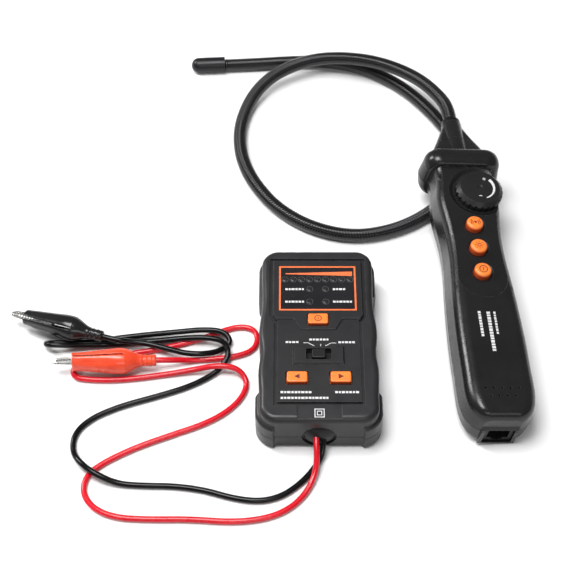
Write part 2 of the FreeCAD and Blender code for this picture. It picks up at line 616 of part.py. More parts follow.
def jaw(half_w, ear_z, ear_rise):
    """A stamped jaw on the +y side: toothed channel, two ears and a handle."""
    nose = channel([(TIP_X, 1.2, 1.3), (TIP_X - 2.0, 1.9, 2.1), (12.0, 2.5, 2.8),
                    (4.0, half_w, 3.7), (-3.0, half_w, 4.4)], JAW_SHEET)
    nose = nose.cut(teeth(0.0))
    ears = [slab((-3.0, 3.0), (-ear_rise, 3.0), (z, z + JAW_SHEET))
            for z in (ear_z - JAW_SHEET, -ear_z)]
    outline = [(-2.6, 4.4), (-8.0, 4.75), (-13.6, 5.3), (-13.6, 4.7), (-8.0, 4.15), (-2.6, 3.8)]
    handle = Part.Face(Part.makePolygon([Vector(x, y, -2.6) for x, y in outline + outline[:1]]))
    handle = handle.extrude(Vector(0, 0, 5.2))
    bore = rod(PIN_R + SPIN_GAP, (0, 0, -6), (0, 0, 6))
    return nose.multiFuse(ears + [handle]).cut(bore).removeSplitter()


def boot_solid(inset):
    """The boot's form, whole: oval at the mouth, round at the neck."""
    wires = []
    for x, wide, high in BOOT_PROFILE:
        major, minor = wide - inset, high - inset + 0.001
        if minor > major:
            major, minor = minor, major
        oval = Part.Ellipse(Vector(0, 0, 0), major, minor)
        edge = oval.toShape()
        edge.Placement = FreeCAD.Placement(Vector(x, 0, 0), FreeCAD.Rotation(
            Vector(0, 0, 1), Vector(0, 1, 0), Vector(1, 0, 0), "XYZ"))
        wires.append(Part.Wire(edge))
    return Part.makeLoft(wires, True, False)


def build_clip(colour, spec):
    """One alligator clip: the moving jaw is on its +y side."""
    place = clip_place(spec)
    moving = jaw(2.9, 2.9, 1.4)
    fixed = jaw(3.7, 3.7, 1.4).mirror(Vector(0, 0, 0), Vector(0, 1, 0))
    link = Part.Face(Part.makePolygon([Vector(x, y, -1.6) for x, y in [
        (-13.2, -5.2), (-19.4, -1.3), (-19.4, 1.3), (-18.4, 1.3), (-12.6, -4.8),
        (-13.2, -5.2)]]))
    link = link.extrude(Vector(0, 0, 3.2))
    barrel = rod(1.75, (-27.5, 0, 0), (-19.0, 0, 0))
    keep(colour + "_clip_fixed_jaw", fixed.multiFuse([link, barrel]).removeSplitter(), place)
    keep(colour + "_clip_moving_jaw", moving, place)
    pin = rod(PIN_R, (0, 0, -4.0), (0, 0, 4.0))
    heads = [rod(1.5, (0, 0, z), (0, 0, z + 0.4)) for z in (3.75, -4.15)]
    keep(colour + "_clip_pin", pin.multiFuse(heads).removeSplitter(), place)
    coil = Part.makeCylinder(1.9, 3.6, Vector(0, 0, -1.8))
    coil = coil.cut(Part.makeCylinder(PIN_R + 0.25, 4, Vector(0, 0, -2)))
    arms = [rod(0.35, (-1.4, s * 1.3, s * 1.2), (-8.5, s * 3.7, s * 1.2)) for s in (-1, 1)]
    keep(colour + "_clip_spring", coil.multiFuse(arms).removeSplitter(), place)

    push, slit = spec[4:]
    plug = slab((NECK_X - 1, NECK_X + NECK_PLUG), (-9, 9), (-9, 9))
    boot = boot_solid(0).cut(boot_solid(BOOT_WALL).cut(plug))
    place = place.multiply(FreeCAD.Placement(Vector(push, 0, 0), FreeCAD.Rotation()))
    side = slab((FLAP_END_X, 20), (-slit, 12), (-12, 12))
    keep(colour + "_boot_half", boot.cut(side), place)
    side = slab((FLAP_END_X + FLAP_GAP, 20), (slit, 12), (-12, 12))
    keep(colour + "_boot_flap", boot.common(side), place)
    return place


def lead_end(place):
    """The last points of a lead, in line with the clip's neck."""
    out = place.multVec(Vector(NECK_X - 8.0, 0, 0))
    end = place.multVec(Vector(NECK_X - 0.05, 0, 0))
    return [tuple(round(v, 2) for v in q) for q in (out, end)]


# --------------------------------------------------------------- receiver
def receiver_section(y, half, low, high, radius, draft):
    """A rounded rectangle across the receiver, for lofting, widest at the seam."""
    r = radius
    k = r * (1 - math.sqrt(0.5))
    seam = min(max(RX_SEAM_Z, low + r + 0.2), high - r - 0.2)
    x0, x1 = half - draft * LOW_DRAFT, half - draft * TOP_DRAFT
    arcs = [
        ((x0 - r, low), (x0 - k, low + k), (x0, low + r)),
        ((x1, high - r), (x1 - k, high - k), (x1 - r, high)),
        ((r - x1, high), (k - x1, high - k), (-x1, high - r)),
        ((-x0, low + r), (k - x0, low + k), (r - x0, low)),
    ]
    joins = [(half, seam), None, (-half, seam), None]
    edges = []
    for i, arc in enumerate(arcs):
        a, m, b = (Vector(q[0], y, q[1]) for q in arc)
        edges.append(Part.Arc(a, m, b).toShape())
        stops = [b, Vector(arcs[(i + 1) % 4][0][0], y, arcs[(i + 1) % 4][0][1])]
        if joins[i]:
            stops.insert(1, Vector(joins[i][0], y, joins[i][1]))
        edges += [Part.LineSegment(p, q).toShape() for p, q in zip(stops, stops[1:])]
    return Part.Wire(edges)


def receiver_loft(sections, inset=0.0):
    """A smooth skin through the sections, drawn in on every side and at both ends."""
    wires = []
    for i, (y, half, low, high, radius) in enumerate(sections):
        shift = inset if i == 0 else -inset if i == len(sections) - 1 else 0.0
        wires.append(receiver_section(y + shift, half - inset, low + inset, high - inset,
                                      max(radius - inset, 1.0), half))
    return Part.makeLoft(wires, True, False)


def ridge(y0, y1):
    """The round ridge that runs down the nose, between two stations."""
    (ya, za, ra), (yb, zb, rb) = RIDGE
    along = Vector(0, yb - ya, zb - za)
    cone = Part.makeCone(ra, rb, along.Length, Vector(0, ya, za), along)
    return cone.common(slab((-BIG, BIG), (y0, y1), (-BIG, BIG)))


def tail_block():
    """The squared end round the tail socket: two cheeks stand beside the sunk jack."""
    outline = [(0, 0.6), (0, 14.2), (1.6, 17.4), (14, 17.4), (14, 0.2), (1.0, 0.2)]
    face = Part.Face(Part.makePolygon([Vector(-10.2, y, z) for y, z in outline + outline[:1]]))
    return face.extrude(Vector(20.4, 0, 0))


def tongue_recess():
    """The shallow sunk panel round the dial and the buttons."""
    near = TONGUE_NEAR_Y + TONGUE_HALF_W
    neck, wide = 126.0, 134.0
    right = [Vector(TONGUE_HALF_W, near, 0), Vector(TONGUE_HALF_W + 0.4, neck, 0),
             Vector(BIG / 8, wide + 20, 0), Vector(BIG / 8, 171.5, 0)]
    edges = [Part.LineSegment(a, b).toShape() for a, b in zip(right, right[1:])]
    edges += [mirrored_x(e) for e in edges]
    edges.append(Part.LineSegment(right[-1], Vector(-right[-1].x, right[-1].y, 0)).toShape())
    edges.append(Part.Arc(right[0], Vector(0, TONGUE_NEAR_Y, 0),
                          Vector(-TONGUE_HALF_W, near, 0)).toShape())
    face = Part.Face(Part.Wire(Part.__sortEdges__(edges)))
    face.translate(Vector(0, 0, TONGUE_Z))
    return face.extrude(Vector(0, 0, 10))


def build_receiver_case(place):
    """Front and back shells, nose cap and ferrule."""
    handle = receiver_loft(RX_BODY)
    outer = handle.multiFuse([receiver_loft(RX_GUARD), receiver_loft(RX_NOSE),
                              ridge(RIDGE[0][0], CAP_Y - 0.25), tail_block()])
    cavity_sections = [s for s in RX_BODY if RX_HOLLOW_Y[0] <= s[0] < RX_HOLLOW_Y[1]]
    cavity_sections.append((RX_HOLLOW_Y[1] + RX_WALL,) + RX_BODY[-1][1:])
    cavity = receiver_loft(cavity_sections, RX_WALL)
    above = slab((-BIG, BIG), (-BIG, BIG), (RX_SEAM_Z + SEAM_GAP, BIG))
    below = slab((-BIG, BIG), (-BIG, BIG), (-BIG, RX_SEAM_Z))
    jack_bay = slab((-8.2, 8.2), (-1, 15.2), (1.8, 14.6))
    neck_bore = rod(NECK_D / 2 + 0.4, (0, 168, NOSE_AXIS_Z), (0, 200, NOSE_AXIS_Z))

    front = outer.common(above).cut([cavity, tongue_recess(), jack_bay, neck_bore])
    boss = rod(17.2, (DIAL[0], DIAL[1], 24.2), (DIAL[0], DIAL[1], TONGUE_Z - 0.2))
    pad = slab((-9, 9), (86, 137), (RX_PAD_Z, TONGUE_Z - 0.4))
    posts = [rod(3.0, (x, y, RX_SEAM_Z + 3), (x, y, 27.4)) for x, y in RX_SCREW_XY]
    front = front.multiFuse([boss.common(receiver_loft(RX_BODY, 0.6)), pad] + posts)
    tools = [
        Part.makeCone(DIAL_WELL_R[0], DIAL_WELL_R[1], TONGUE_Z - DIAL_FLOOR_Z + 0.01,
                      Vector(DIAL[0], DIAL[1], DIAL_FLOOR_Z)),
        rod(DIAL_WELL_R[1], (DIAL[0], DIAL[1], TONGUE_Z), (DIAL[0], DIAL[1], 40)).common(
            slab((-BIG, BIG), (0, 171.5), (0, BIG))),
        rod(4.0, (DIAL[0], DIAL[1], 20), (DIAL[0], DIAL[1], 40)),
    ]
    for y in RX_KEY_YS:
        tools.append(rod(RX_KEY_R + SLIDE_GAP, (0, y, 20), (0, y, 40)))
        tools.append(Part.makeSphere(DISH_R, Vector(0, y, TONGUE_Z - DISH_DEPTH + DISH_R)))
    for y, count in VENT_ROWS:
        for i in range(count):
            x = (i - (count - 1) / 2) * VENT_PITCH
            tools.append(rod(VENT_R, (x, y, 20), (x, y, 40)))
    for x, y in RX_SCREW_XY:
        tools.append(rod(1.15, (x, y, 0), (x, y, 24)))
    keep("receiver_front_shell", front.cut(tools).removeSplitter(), place)

    back = outer.common(below).cut([cavity])
    tongue = receiver_loft(RX_BODY, 1.35).common(
        slab((-BIG, BIG), (20, 160), (RX_SEAM_Z - 1, RX_SEAM_Z + TONGUE_RISE)))
    ring = tongue.cut(cavity)
    posts = [rod(3.0, (x, y, RX_WALL - 0.4), (x, y, RX_SEAM_Z + 2.8)) for x, y in RX_SCREW_XY]
    back = back.multiFuse([ring] + posts)
    tools = [jack_bay, neck_bore, tablet((-15.3, 15.3), (15.7, 76.3), (-3, 3.4), 2.0)]
    for x, y in RX_SCREW_XY:
        tools.append(rod(1.3, (x, y, -1), (x, y, 20)))
        tools.append(rod(2.6, (x, y, -1), (x, y, 2.4)))
    tools.append(rod(2.6, (0, 191.0, 0), (0, 191.0, 6.4)))
    keep("receiver_back_shell", back.cut(tools).removeSplitter(), place)
    rebate = receiver_loft(RX_BODY, 1.2).common(
        slab((-BIG, BIG), (19.6, 160.4), (RX_SEAM_Z, RX_SEAM_Z + TONGUE_RISE + 0.3)))
    shell = NODES["receiver_front_shell"]
    rebate.Placement = place.multiply(rebate.Placement)
    NODES["receiver_front_shell"] = shell.cut(rebate)

    cap = receiver_loft(RX_CAP).fuse(ridge(RX_CAP[0][0], RX_CAP[-1][0]))
    bore = rod(NECK_D / 2 + 0.4, (0, 190, NOSE_AXIS_Z), (0, 213.8, NOSE_AXIS_Z))
    keep("nose_cap", cap.cut([bore, rod(3.2, (0, 213, NOSE_AXIS_Z), (0, 220, NOSE_AXIS_Z))]),
         place)
    near, far, radius = FERRULE
    collar = rod(radius, (0, near + 1.05, NOSE_AXIS_Z), (0, far, NOSE_AXIS_Z))
    collar = collar.makeFillet(0.8, edges_at_y(collar, far))
    stub = rod(3.1, (0, near - 0.1, NOSE_AXIS_Z), (0, near + 2, NOSE_AXIS_Z))
    keep("gooseneck_ferrule", collar.fuse(stub).removeSplitter(), place)


def dial():
    """The thumb dial: knurled rim, bevelled top, blind bore for its shaft."""
    z0, z1 = DIAL_Z
    rim = Part.makeCylinder(DIAL_R, z1 - z0 - DIAL_BEVEL, Vector(0, 0, z0))
    top = Part.makeCone(DIAL_R, DIAL_R - DIAL_BEVEL, DIAL_BEVEL, Vector(0, 0, z1 - DIAL_BEVEL))
    body = rim.fuse(top)
    cuts = []
    for i in range(DIAL_KNURLS):
        a = 2 * math.pi * i / DIAL_KNURLS
        at = Vector((DIAL_R + 0.5) * math.cos(a), (DIAL_R + 0.5) * math.sin(a), z0 - 1)
        cuts.append(Part.makeCylinder(1.1, z1 - z0 + 2, at))
    cuts.append(Part.makeCylinder(POT_SHAFT_R + SPIN_GAP, 3.6, Vector(0, 0, z0 - 0.01)))
    cuts.append(Part.makeSphere(4.0, Vector(0, 0, z1 + 3.6)))
    shape = body.cut(cuts)
    shape.translate(Vector(DIAL[0], DIAL[1], 0))
    return shape


def round_key(y):
    """A round push button with its keeping flange."""
    cap = rod(RX_KEY_R, (0, y, RX_KEY_FLANGE[0]), (0, y, RX_KEY_TOP_Z))
    cap = cap.makeFillet(1.9, edges_at_z(cap, RX_KEY_TOP_Z))
    return cap.fuse(rod(RX_KEY_R + 1.2, (0, y, RX_KEY_FLANGE[0]),
                        (0, y, RX_KEY_FLANGE[1]))).removeSplitter()


def build_receiver_inside(place):
    """Controls, board, battery, sounder, sockets and screws of the receiver."""
    keep("sensitivity_dial", dial(), place)
    for name, y in zip(("scan_button", "lamp_button", "receiver_power_button"), RX_KEY_YS):
        keep(name, round_key(y), place)
    switches = [tact_switch(0, y, RX_BOARD_Z[1]) for y in RX_KEY_YS]
    keep("receiver_tact_switches", group(switches), place)
    board = slab((-11.5, 13.5), (88.0, 166.0), RX_BOARD_Z)
    notches = [rod(3.4, (x, y, 10), (x, y, 30)) for x, y in RX_SCREW_XY]
    keep("receiver_circuit_board", board.cut(notches), place)
    pot = slab((DIAL[0] - 5.5, DIAL[0] + 5.5), (DIAL[1] - 6, DIAL[1] + 6),
               (RX_BOARD_Z[1], 24.0))
    shaft = rod(POT_SHAFT_R, (DIAL[0], DIAL[1], 23.9), (DIAL[0], DIAL[1], DIAL_Z[0] + 3.3))
    keep("sensitivity_potentiometer", pot.fuse(shaft), place)
    keep("receiver_battery", nine_volt(0, RX_BATTERY_Y + 4.2, 2.6), place)
    keep("receiver_battery_clip", snap_connector(0, RX_BATTERY_Y + 4.2, 2.6), place)
    sounder = rod(6.6, (0, 23.6, 21.2), (0, 23.6, 25.8))
    keep("receiver_sounder", sounder.cut(rod(1.0, (0, 23.6, 25), (0, 23.6, 27))), place)
    door = tablet((-15, 15), (16, 76), (0.05, 2.0), 1.8)
    ribs = [slab((-11, 11), (y, y + 1.2), (-1, 0.45)) for y in (60.0, 63.0, 66.0)]
    bore = rod(2.6, (0, 19.6, -1), (0, 19.6, 1.3))
    hole = rod(1.3, (0, 19.6, -1), (0, 19.6, 3))
    keep("receiver_battery_door", door.cut(ribs + [bore, hole]), place)
    head = rod(2.4, (0, 19.6, 0.35), (0, 19.6, 1.25))
    shank = rod(1.05, (0, 19.6, 1.2), (0, 19.6, 5.4))
    slot = slab((-1.6, 1.6), (19.3, 19.9), (0, 0.9))
    keep("receiver_door_screw", head.fuse(shank).cut(slot), place)
    screws = [case_screw(x, y, 0.7, 18.0) for x, y in RX_SCREW_XY]
    keep("receiver_case_screws", group(screws), place)
    socket = jack()
    socket.translate(Vector(0, 1.4, 2.0))
    keep("tail_socket", socket, place)
    lens = rod(2.4, (0, 191.0, 3.4), (0, 191.0, 6.3))
    keep("work_lamp", lens.makeFillet(1.4, edges_at_z(lens, 3.4)), place)


def receiver_place():
    yaw = FreeCAD.Rotation(UP, RX_YAW)
    tilt = FreeCAD.Rotation(Vector(1, 0, 0), RX_TILT)
    roll = FreeCAD.Rotation(Vector(0, 1, 0), RX_ROLL)
    return FreeCAD.Placement(Vector(*RX_PLACE), yaw.multiply(tilt).multiply(roll))


def build_gooseneck(place):
    """The bendable neck from the ferrule's face to the probe tip."""
    exit_point = place.multVec(Vector(0, FERRULE[1] + 0.05, NOSE_AXIS_Z))
    ahead = place.multVec(Vector(0, FERRULE[1] + NECK_STRAIGHT, NOSE_AXIS_Z))
    route = [tuple(round(v, 2) for v in q) for q in (exit_point, ahead)] + GOOSENECK
    print("gooseneck starts", route[:2])
    cord("gooseneck", route, NECK_D)

    end, before = Vector(*route[-1]), Vector(*route[-2])
    along = (end - before).normalize()
    start = Vector(end.x, end.y, TIP_Z)
    along = Vector(along.x, along.y, 0).normalize()
    length = TIP_LONG - TIP_R
    shell = Part.makeCylinder(TIP_R, length, start, along)
    shell = shell.fuse(Part.makeSphere(TIP_R, start + along * length))
    bore = Part.makeCylinder(3.1, length - 3, start + along * 3, along)
    keep("probe_tip", shell.cut(bore).removeSplitter())
    coil = Part.makeCylinder(2.9, length - 4, start + along * 3.4, along)
    keep("sensing_coil", coil.cut(Part.makeCylinder(1.0, length, start + along * 3.4, along)))


def build():
    build_transmitter_case()
    build_face()
    build_controls()
    build_transmitter_inside()
    red_end = lead_end(build_clip("red", RED_CLIP))
    black_end = lead_end(build_clip("black", BLACK_CLIP))
    print("lead ends", red_end, black_end)
    cord("red_lead", RED_LEAD + red_end, LEAD_D)
    cord("black_lead", BLACK_LEAD + black_end, LEAD_D)
    place = receiver_place()
    build_receiver_case(place)
    build_receiver_inside(place)
    build_gooseneck(place)

    os.makedirs("parts", exist_ok=True)
    for name, shape in NODES.items():
        if not shape.isValid():
            print("not valid:", name)
        shape.exportStep(os.path.join("parts", name + ".step"))
    print(len(NODES), "nodes")


build()
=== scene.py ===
import json
import math

import bmesh
import bpy
import numpy as np
from mathutils import Matrix, Vector


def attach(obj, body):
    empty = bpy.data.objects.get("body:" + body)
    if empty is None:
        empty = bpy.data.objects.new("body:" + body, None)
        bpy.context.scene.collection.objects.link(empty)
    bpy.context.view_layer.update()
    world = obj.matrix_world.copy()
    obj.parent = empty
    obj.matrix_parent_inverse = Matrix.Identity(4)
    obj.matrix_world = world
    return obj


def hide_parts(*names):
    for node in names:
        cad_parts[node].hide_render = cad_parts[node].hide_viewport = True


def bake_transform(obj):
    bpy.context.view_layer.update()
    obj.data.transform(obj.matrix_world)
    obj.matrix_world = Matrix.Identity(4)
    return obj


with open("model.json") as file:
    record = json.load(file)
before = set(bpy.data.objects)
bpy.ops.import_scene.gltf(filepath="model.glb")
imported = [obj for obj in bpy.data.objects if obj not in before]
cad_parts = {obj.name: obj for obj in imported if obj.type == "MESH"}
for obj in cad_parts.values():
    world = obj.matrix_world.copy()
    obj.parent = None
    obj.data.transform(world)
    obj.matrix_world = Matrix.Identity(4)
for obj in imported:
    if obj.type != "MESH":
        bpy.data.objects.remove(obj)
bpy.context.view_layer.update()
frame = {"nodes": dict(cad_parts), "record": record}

NODES = frame["nodes"]
SCENE = bpy.context.scene
MM = 0.001

# ------------------------------------------------------------------ placing
# The frame's origin is the centre of the transmitter's underside. Places are in
# millimetres and turns in degrees.
RECEIVER_ORIGIN = (95.7, -56.0, 0.92)
RECEIVER_YAW = 3.2
RECEIVER_TILT = 2.75
RECEIVER_ROLL = 6.05
RED_CLIP = ((-126.7, -7.8, 9.3), 183.6, 3.3, 0.0)      # pin, heading, pitch, roll
BLACK_CLIP = ((-154.2, 18.8, 9.64), 163.6, 0.75, 144.0)
BOOT_PUSH = {"red": 0.0, "black": 2.5}      # how far each boot sits towards its jaws


def turned(origin, *steps):
    place = Matrix.Translation(Vector(origin) * MM)
    for angle, axis in steps:
        place = place @ Matrix.Rotation(math.radians(angle), 4, axis)
    return place


TRANSMITTER_PLACE = Matrix.Identity(4)
RECEIVER_PLACE = turned(RECEIVER_ORIGIN, (RECEIVER_YAW, "Z"), (RECEIVER_TILT, "X"),
                        (RECEIVER_ROLL, "Y"))


def clip_place(spec):
    """The place of a clip: x runs to the jaw's tip, and the pin lies along z."""
    origin, heading, pitch, roll = spec
    return turned(origin, (heading, "Z"), (-pitch, "Y"), (roll, "X"))


# ---------------------------------------------------------------- materials
EDGE_FLAT, EDGE_SHARP = 0.995, 0.86     # how alike true and softened normals are
EDGE_REACH = 0.5
UPRIGHT_FROM, UPRIGHT_TO = 0.25, 0.8
DRIFT_RANGE = (0.35, 0.65)
WEAR_AND_HIGHLIGHT_CELLS = 0.35
WEAR_AND_HIGHLIGHT_RANGE = (0.35, 0.75)
SMUDGE_CELLS = 0.12
SMUDGE_RANGE = (0.3, 0.7)


class Finish:
    """A procedural material: body colour with drift, grain in the surface, edges partly worn
    and partly a painted highlight.
    """

    def __init__(self, name):
        self.material = bpy.data.materials.new(name)
        self.material.use_nodes = True
        self.tree = self.material.node_tree
        self.tree.nodes.clear()
        self.shader = self.node("ShaderNodeBsdfPrincipled")
        output = self.node("ShaderNodeOutputMaterial")
        self.link(self.shader.outputs[0], output.inputs["Surface"])
        self.place = self.node("ShaderNodeTexCoord").outputs["Object"]

    def node(self, kind, **settings):
        made = self.tree.nodes.new(kind)
        for key, value in settings.items():
            setattr(made, key, value)
        return made

    def link(self, out, into):
        self.tree.links.new(out, into)

    def noise(self, per_mm, detail=2.0, roughness=0.5, stretch=None):
        """Noise with that many cells in a millimetre."""
        place = self.place
        if stretch:
            mapping = self.node("ShaderNodeMapping")
            mapping.inputs["Scale"].default_value = stretch
            self.link(place, mapping.inputs["Vector"])
            place = mapping.outputs[0]
        made = self.node("ShaderNodeTexNoise")
        made.inputs["Scale"].default_value = per_mm * 1000
        made.inputs["Detail"].default_value = detail
        made.inputs["Roughness"].default_value = roughness
        self.link(place, made.inputs["Vector"])
        return made.outputs["Fac"]

    def ramp(self, value, low, high, out_low=0.0, out_high=1.0):
        """A value spread from one range onto another."""
        made = self.node("ShaderNodeMapRange")
        made.inputs["From Min"].default_value = low
        made.inputs["From Max"].default_value = high
        made.inputs["To Min"].default_value = out_low
        made.inputs["To Max"].default_value = out_high
        self.link(value, made.inputs["Value"])
        return made.outputs[0]

    def mix(self, share, first, second):
        """Two colours, each a constant or a socket, mixed by a share."""
        made = self.node("ShaderNodeMix", data_type="RGBA")
        colour_in = [s for s in made.inputs if s.type == "RGBA"]
        factor = [s for s in made.inputs if s.type == "VALUE"][0]
        self.link(share, factor)
        for socket, value in zip(colour_in, (first, second)):
            if isinstance(value, tuple):
                socket.default_value = (*value, 1.0)
            else:
                self.link(value, socket)
        return [s for s in made.outputs if s.type == "RGBA"][0]

    def times(self, first, second):
        made = self.node("ShaderNodeMath", operation="MULTIPLY")
        for socket, value in zip(made.inputs, (first, second)):
            if isinstance(value, float):
                socket.default_value = value
            else:
                self.link(value, socket)
        return made.outputs[0]

    def edges(self, radius_mm):
        """0 on flat faces, rising to 1 on sharp outer edges."""
        soft = self.node("ShaderNodeBevel", samples=4)
        soft.inputs["Radius"].default_value = radius_mm * MM
        flat = self.node("ShaderNodeNewGeometry")
        dot = self.node("ShaderNodeVectorMath", operation="DOT_PRODUCT")
        self.link(soft.outputs[0], dot.inputs[0])
        self.link(flat.outputs["Normal"], dot.inputs[1])
        return self.ramp(dot.outputs["Value"], EDGE_FLAT, EDGE_SHARP)

    def upright(self):
        """1 on faces that look up, 0 on side walls."""
        split = self.node("ShaderNodeSeparateXYZ")
        self.link(self.node("ShaderNodeTexCoord").outputs["Normal"], split.inputs[0])
        return self.ramp(split.outputs["Z"], UPRIGHT_FROM, UPRIGHT_TO)

    def relief(self, height, depth_mm, strength, bevel_mm):
        """Surface bump on top of softly rounded edges."""
        bump = self.node("ShaderNodeBump")
        bump.inputs["Distance"].default_value = depth_mm * MM
        bump.inputs["Strength"].default_value = strength
        self.link(height, bump.inputs["Height"])
        if bevel_mm:
            soft = self.node("ShaderNodeBevel", samples=4)
            soft.inputs["Radius"].default_value = bevel_mm * MM
            self.link(soft.outputs[0], bump.inputs["Normal"])
        self.link(bump.outputs[0], self.shader.inputs["Normal"])

    def sockets(self, **values):
        for key, value in values.items():
            self.shader.inputs[key.replace("_", " ")].default_value = value


def finish(name, base, drift, rough, grain=2.2, depth=0.03, strength=0.25, bevel=0.25,
           edge_wear_and_highlight=None, wear_and_highlight_amount=0.0, drift_cells=0.04, stretch=None, painted_wall_shade=None, **sockets):
    """One material. base and drift are its two body colours, rough its roughness range.
    The side-wall colour is painted shade, where the piece shades itself in its opening; the
    edge colour is partly wear and partly a painted highlight, and darker painted shade on the
    keys."""
    made = Finish(name)
    body = made.mix(made.ramp(made.noise(drift_cells, 3.0), *DRIFT_RANGE), base, drift)
    # Painted shade: side walls darker than the upward faces, where the piece shades itself in
    # its opening.
    if painted_wall_shade:
        body = made.mix(made.upright(), painted_wall_shade, body)
    if edge_wear_and_highlight:
        # Edges take the edge colour in patches: partly wear, partly a painted highlight lighter
        # than the body; on the keys it is darker, painted shade.
        wear_and_highlight_patches = made.ramp(made.noise(WEAR_AND_HIGHLIGHT_CELLS, 4.0, 0.6), *WEAR_AND_HIGHLIGHT_RANGE)
        share = made.times(made.times(made.edges(EDGE_REACH), wear_and_highlight_patches), wear_and_highlight_amount)
        body = made.mix(share, body, edge_wear_and_highlight)
    made.link(body, made.shader.inputs["Base Color"])
    smudge = made.ramp(made.noise(SMUDGE_CELLS, 3.0, 0.6), *SMUDGE_RANGE, *rough)
    made.link(smudge, made.shader.inputs["Roughness"])
    made.relief(made.noise(grain, 2.0, 0.6, stretch), depth, strength, bevel)
    made.sockets(**sockets)
    return made.material


# Edge colours lighter than the bodies below are painted highlights along the edges as well as
# wear.
CASE = finish("case_plastic", (0.0175, 0.0175, 0.019), (0.0215, 0.0215, 0.023), (0.30, 0.42),
              grain=2.6, depth=0.05, strength=0.35, bevel=0.35,
              edge_wear_and_highlight=(0.13, 0.13, 0.13), wear_and_highlight_amount=0.7, Specular_IOR_Level=0.30)
RECEIVER_CASE = finish("receiver_case_plastic", (0.0085, 0.0085, 0.009),
                       (0.0105, 0.0105, 0.011), (0.22, 0.30), grain=2.6, depth=0.04,
                       strength=0.25, bevel=0.35, edge_wear_and_highlight=(0.12, 0.12, 0.12), wear_and_highlight_amount=0.9,
                       Specular_IOR_Level=0.36)
PANEL = finish("panel_plastic", (0.0125, 0.0125, 0.0135), (0.0155, 0.0155, 0.017), (0.38, 0.50),
               grain=3.2, depth=0.03, strength=0.3, bevel=0.2,
               edge_wear_and_highlight=(0.12, 0.12, 0.12), wear_and_highlight_amount=0.8, Specular_IOR_Level=0.28)
WINDOW = finish("window_film", (0.012, 0.012, 0.014), (0.015, 0.015, 0.017), (0.22, 0.30),
                grain=0.5, depth=0.02, strength=0.1, bevel=0.1,
                edge_wear_and_highlight=(0.05, 0.05, 0.05), wear_and_highlight_amount=0.2, Specular_IOR_Level=0.22)
LENS = finish("lamp_lens", (0.016, 0.015, 0.015), (0.024, 0.022, 0.022), (0.08, 0.14),
              grain=1.0, depth=0.02, strength=0.1, bevel=0.15,
              edge_wear_and_highlight=(0.12, 0.12, 0.12), wear_and_highlight_amount=0.3, Coat_Weight=0.3)
# Orange keys: the darker side walls and the darker edges are painted shade.
KEY = finish("orange_key_plastic", (0.92, 0.230, 0.035), (0.86, 0.190, 0.028), (0.30, 0.42),
             grain=2.4, depth=0.03, strength=0.2, bevel=0.35,
             edge_wear_and_highlight=(0.62, 0.10, 0.015), wear_and_highlight_amount=0.8, drift_cells=0.12,
             painted_wall_shade=(0.46, 0.060, 0.012), Subsurface_Weight=0.05, Subsurface_Scale=0.001)
DIAL = finish("dial_plastic", (0.0085, 0.0085, 0.009), (0.012, 0.012, 0.0125), (0.34, 0.44),
              grain=3.0, depth=0.03, strength=0.3, bevel=0.2,
              edge_wear_and_highlight=(0.08, 0.08, 0.08), wear_and_highlight_amount=0.4, Specular_IOR_Level=0.28)
RUBBER = finish("gland_rubber", (0.004, 0.004, 0.0045), (0.006, 0.006, 0.0065), (0.26, 0.36),
                grain=1.2, depth=0.03, strength=0.15, bevel=0.3,
                edge_wear_and_highlight=(0.08, 0.08, 0.08), wear_and_highlight_amount=0.6, Specular_IOR_Level=0.22)
TIP = finish("probe_tip_plastic", (0.008, 0.008, 0.009), (0.011, 0.011, 0.012), (0.30, 0.42),
             grain=2.6, depth=0.04, strength=0.3, bevel=0.3,
             edge_wear_and_highlight=(0.06, 0.06, 0.06), wear_and_highlight_amount=0.4, Specular_IOR_Level=0.28)
RED_WIRE = finish("red_silicone", (0.66, 0.006, 0.018), (0.56, 0.004, 0.014), (0.20, 0.32),
                  grain=0.7, depth=0.06, strength=0.25, bevel=0.0, drift_cells=0.06,
                  edge_wear_and_highlight=(0.78, 0.10, 0.10), wear_and_highlight_amount=0.2, Coat_Weight=0.25, Coat_Roughness=0.12,
                  Specular_IOR_Level=0.35, Subsurface_Weight=0.06, Subsurface_Scale=0.001)
BLACK_WIRE = finish("black_silicone", (0.003, 0.003, 0.0035), (0.0045, 0.0045, 0.005),
                    (0.12, 0.24), grain=0.7, depth=0.08, strength=0.35, bevel=0.0,
                    drift_cells=0.06, edge_wear_and_highlight=(0.04, 0.04, 0.04), wear_and_highlight_amount=0.2,
                    Specular_IOR_Level=0.22)
RED_BOOT = finish("red_vinyl", (0.84, 0.078, 0.026), (0.76, 0.058, 0.020), (0.24, 0.38),
                  grain=0.9, depth=0.05, strength=0.3, bevel=0.2, drift_cells=0.1,
                  edge_wear_and_highlight=(0.92, 0.16, 0.08), wear_and_highlight_amount=0.35, Coat_Weight=0.25, Coat_Roughness=0.12,
                  Specular_IOR_Level=0.35, Subsurface_Weight=0.08, Subsurface_Scale=0.0015)
BLACK_BOOT = finish("black_vinyl", (0.008, 0.008, 0.0085), (0.012, 0.012, 0.0125), (0.16, 0.28),
                    grain=0.9, depth=0.05, strength=0.3, bevel=0.2, drift_cells=0.1,
                    edge_wear_and_highlight=(0.10, 0.10, 0.10), wear_and_highlight_amount=0.5, Specular_IOR_Level=0.40)
PLATED = finish("nickel_plate", (0.86, 0.85, 0.83), (0.74, 0.73, 0.71), (0.20, 0.36),
                grain=1.6, depth=0.02, strength=0.2, bevel=0.12, drift_cells=0.3,
                stretch=(0.25, 1.0, 1.0), edge_wear_and_highlight=(0.9, 0.88, 0.85), wear_and_highlight_amount=0.5, Metallic=1.0)
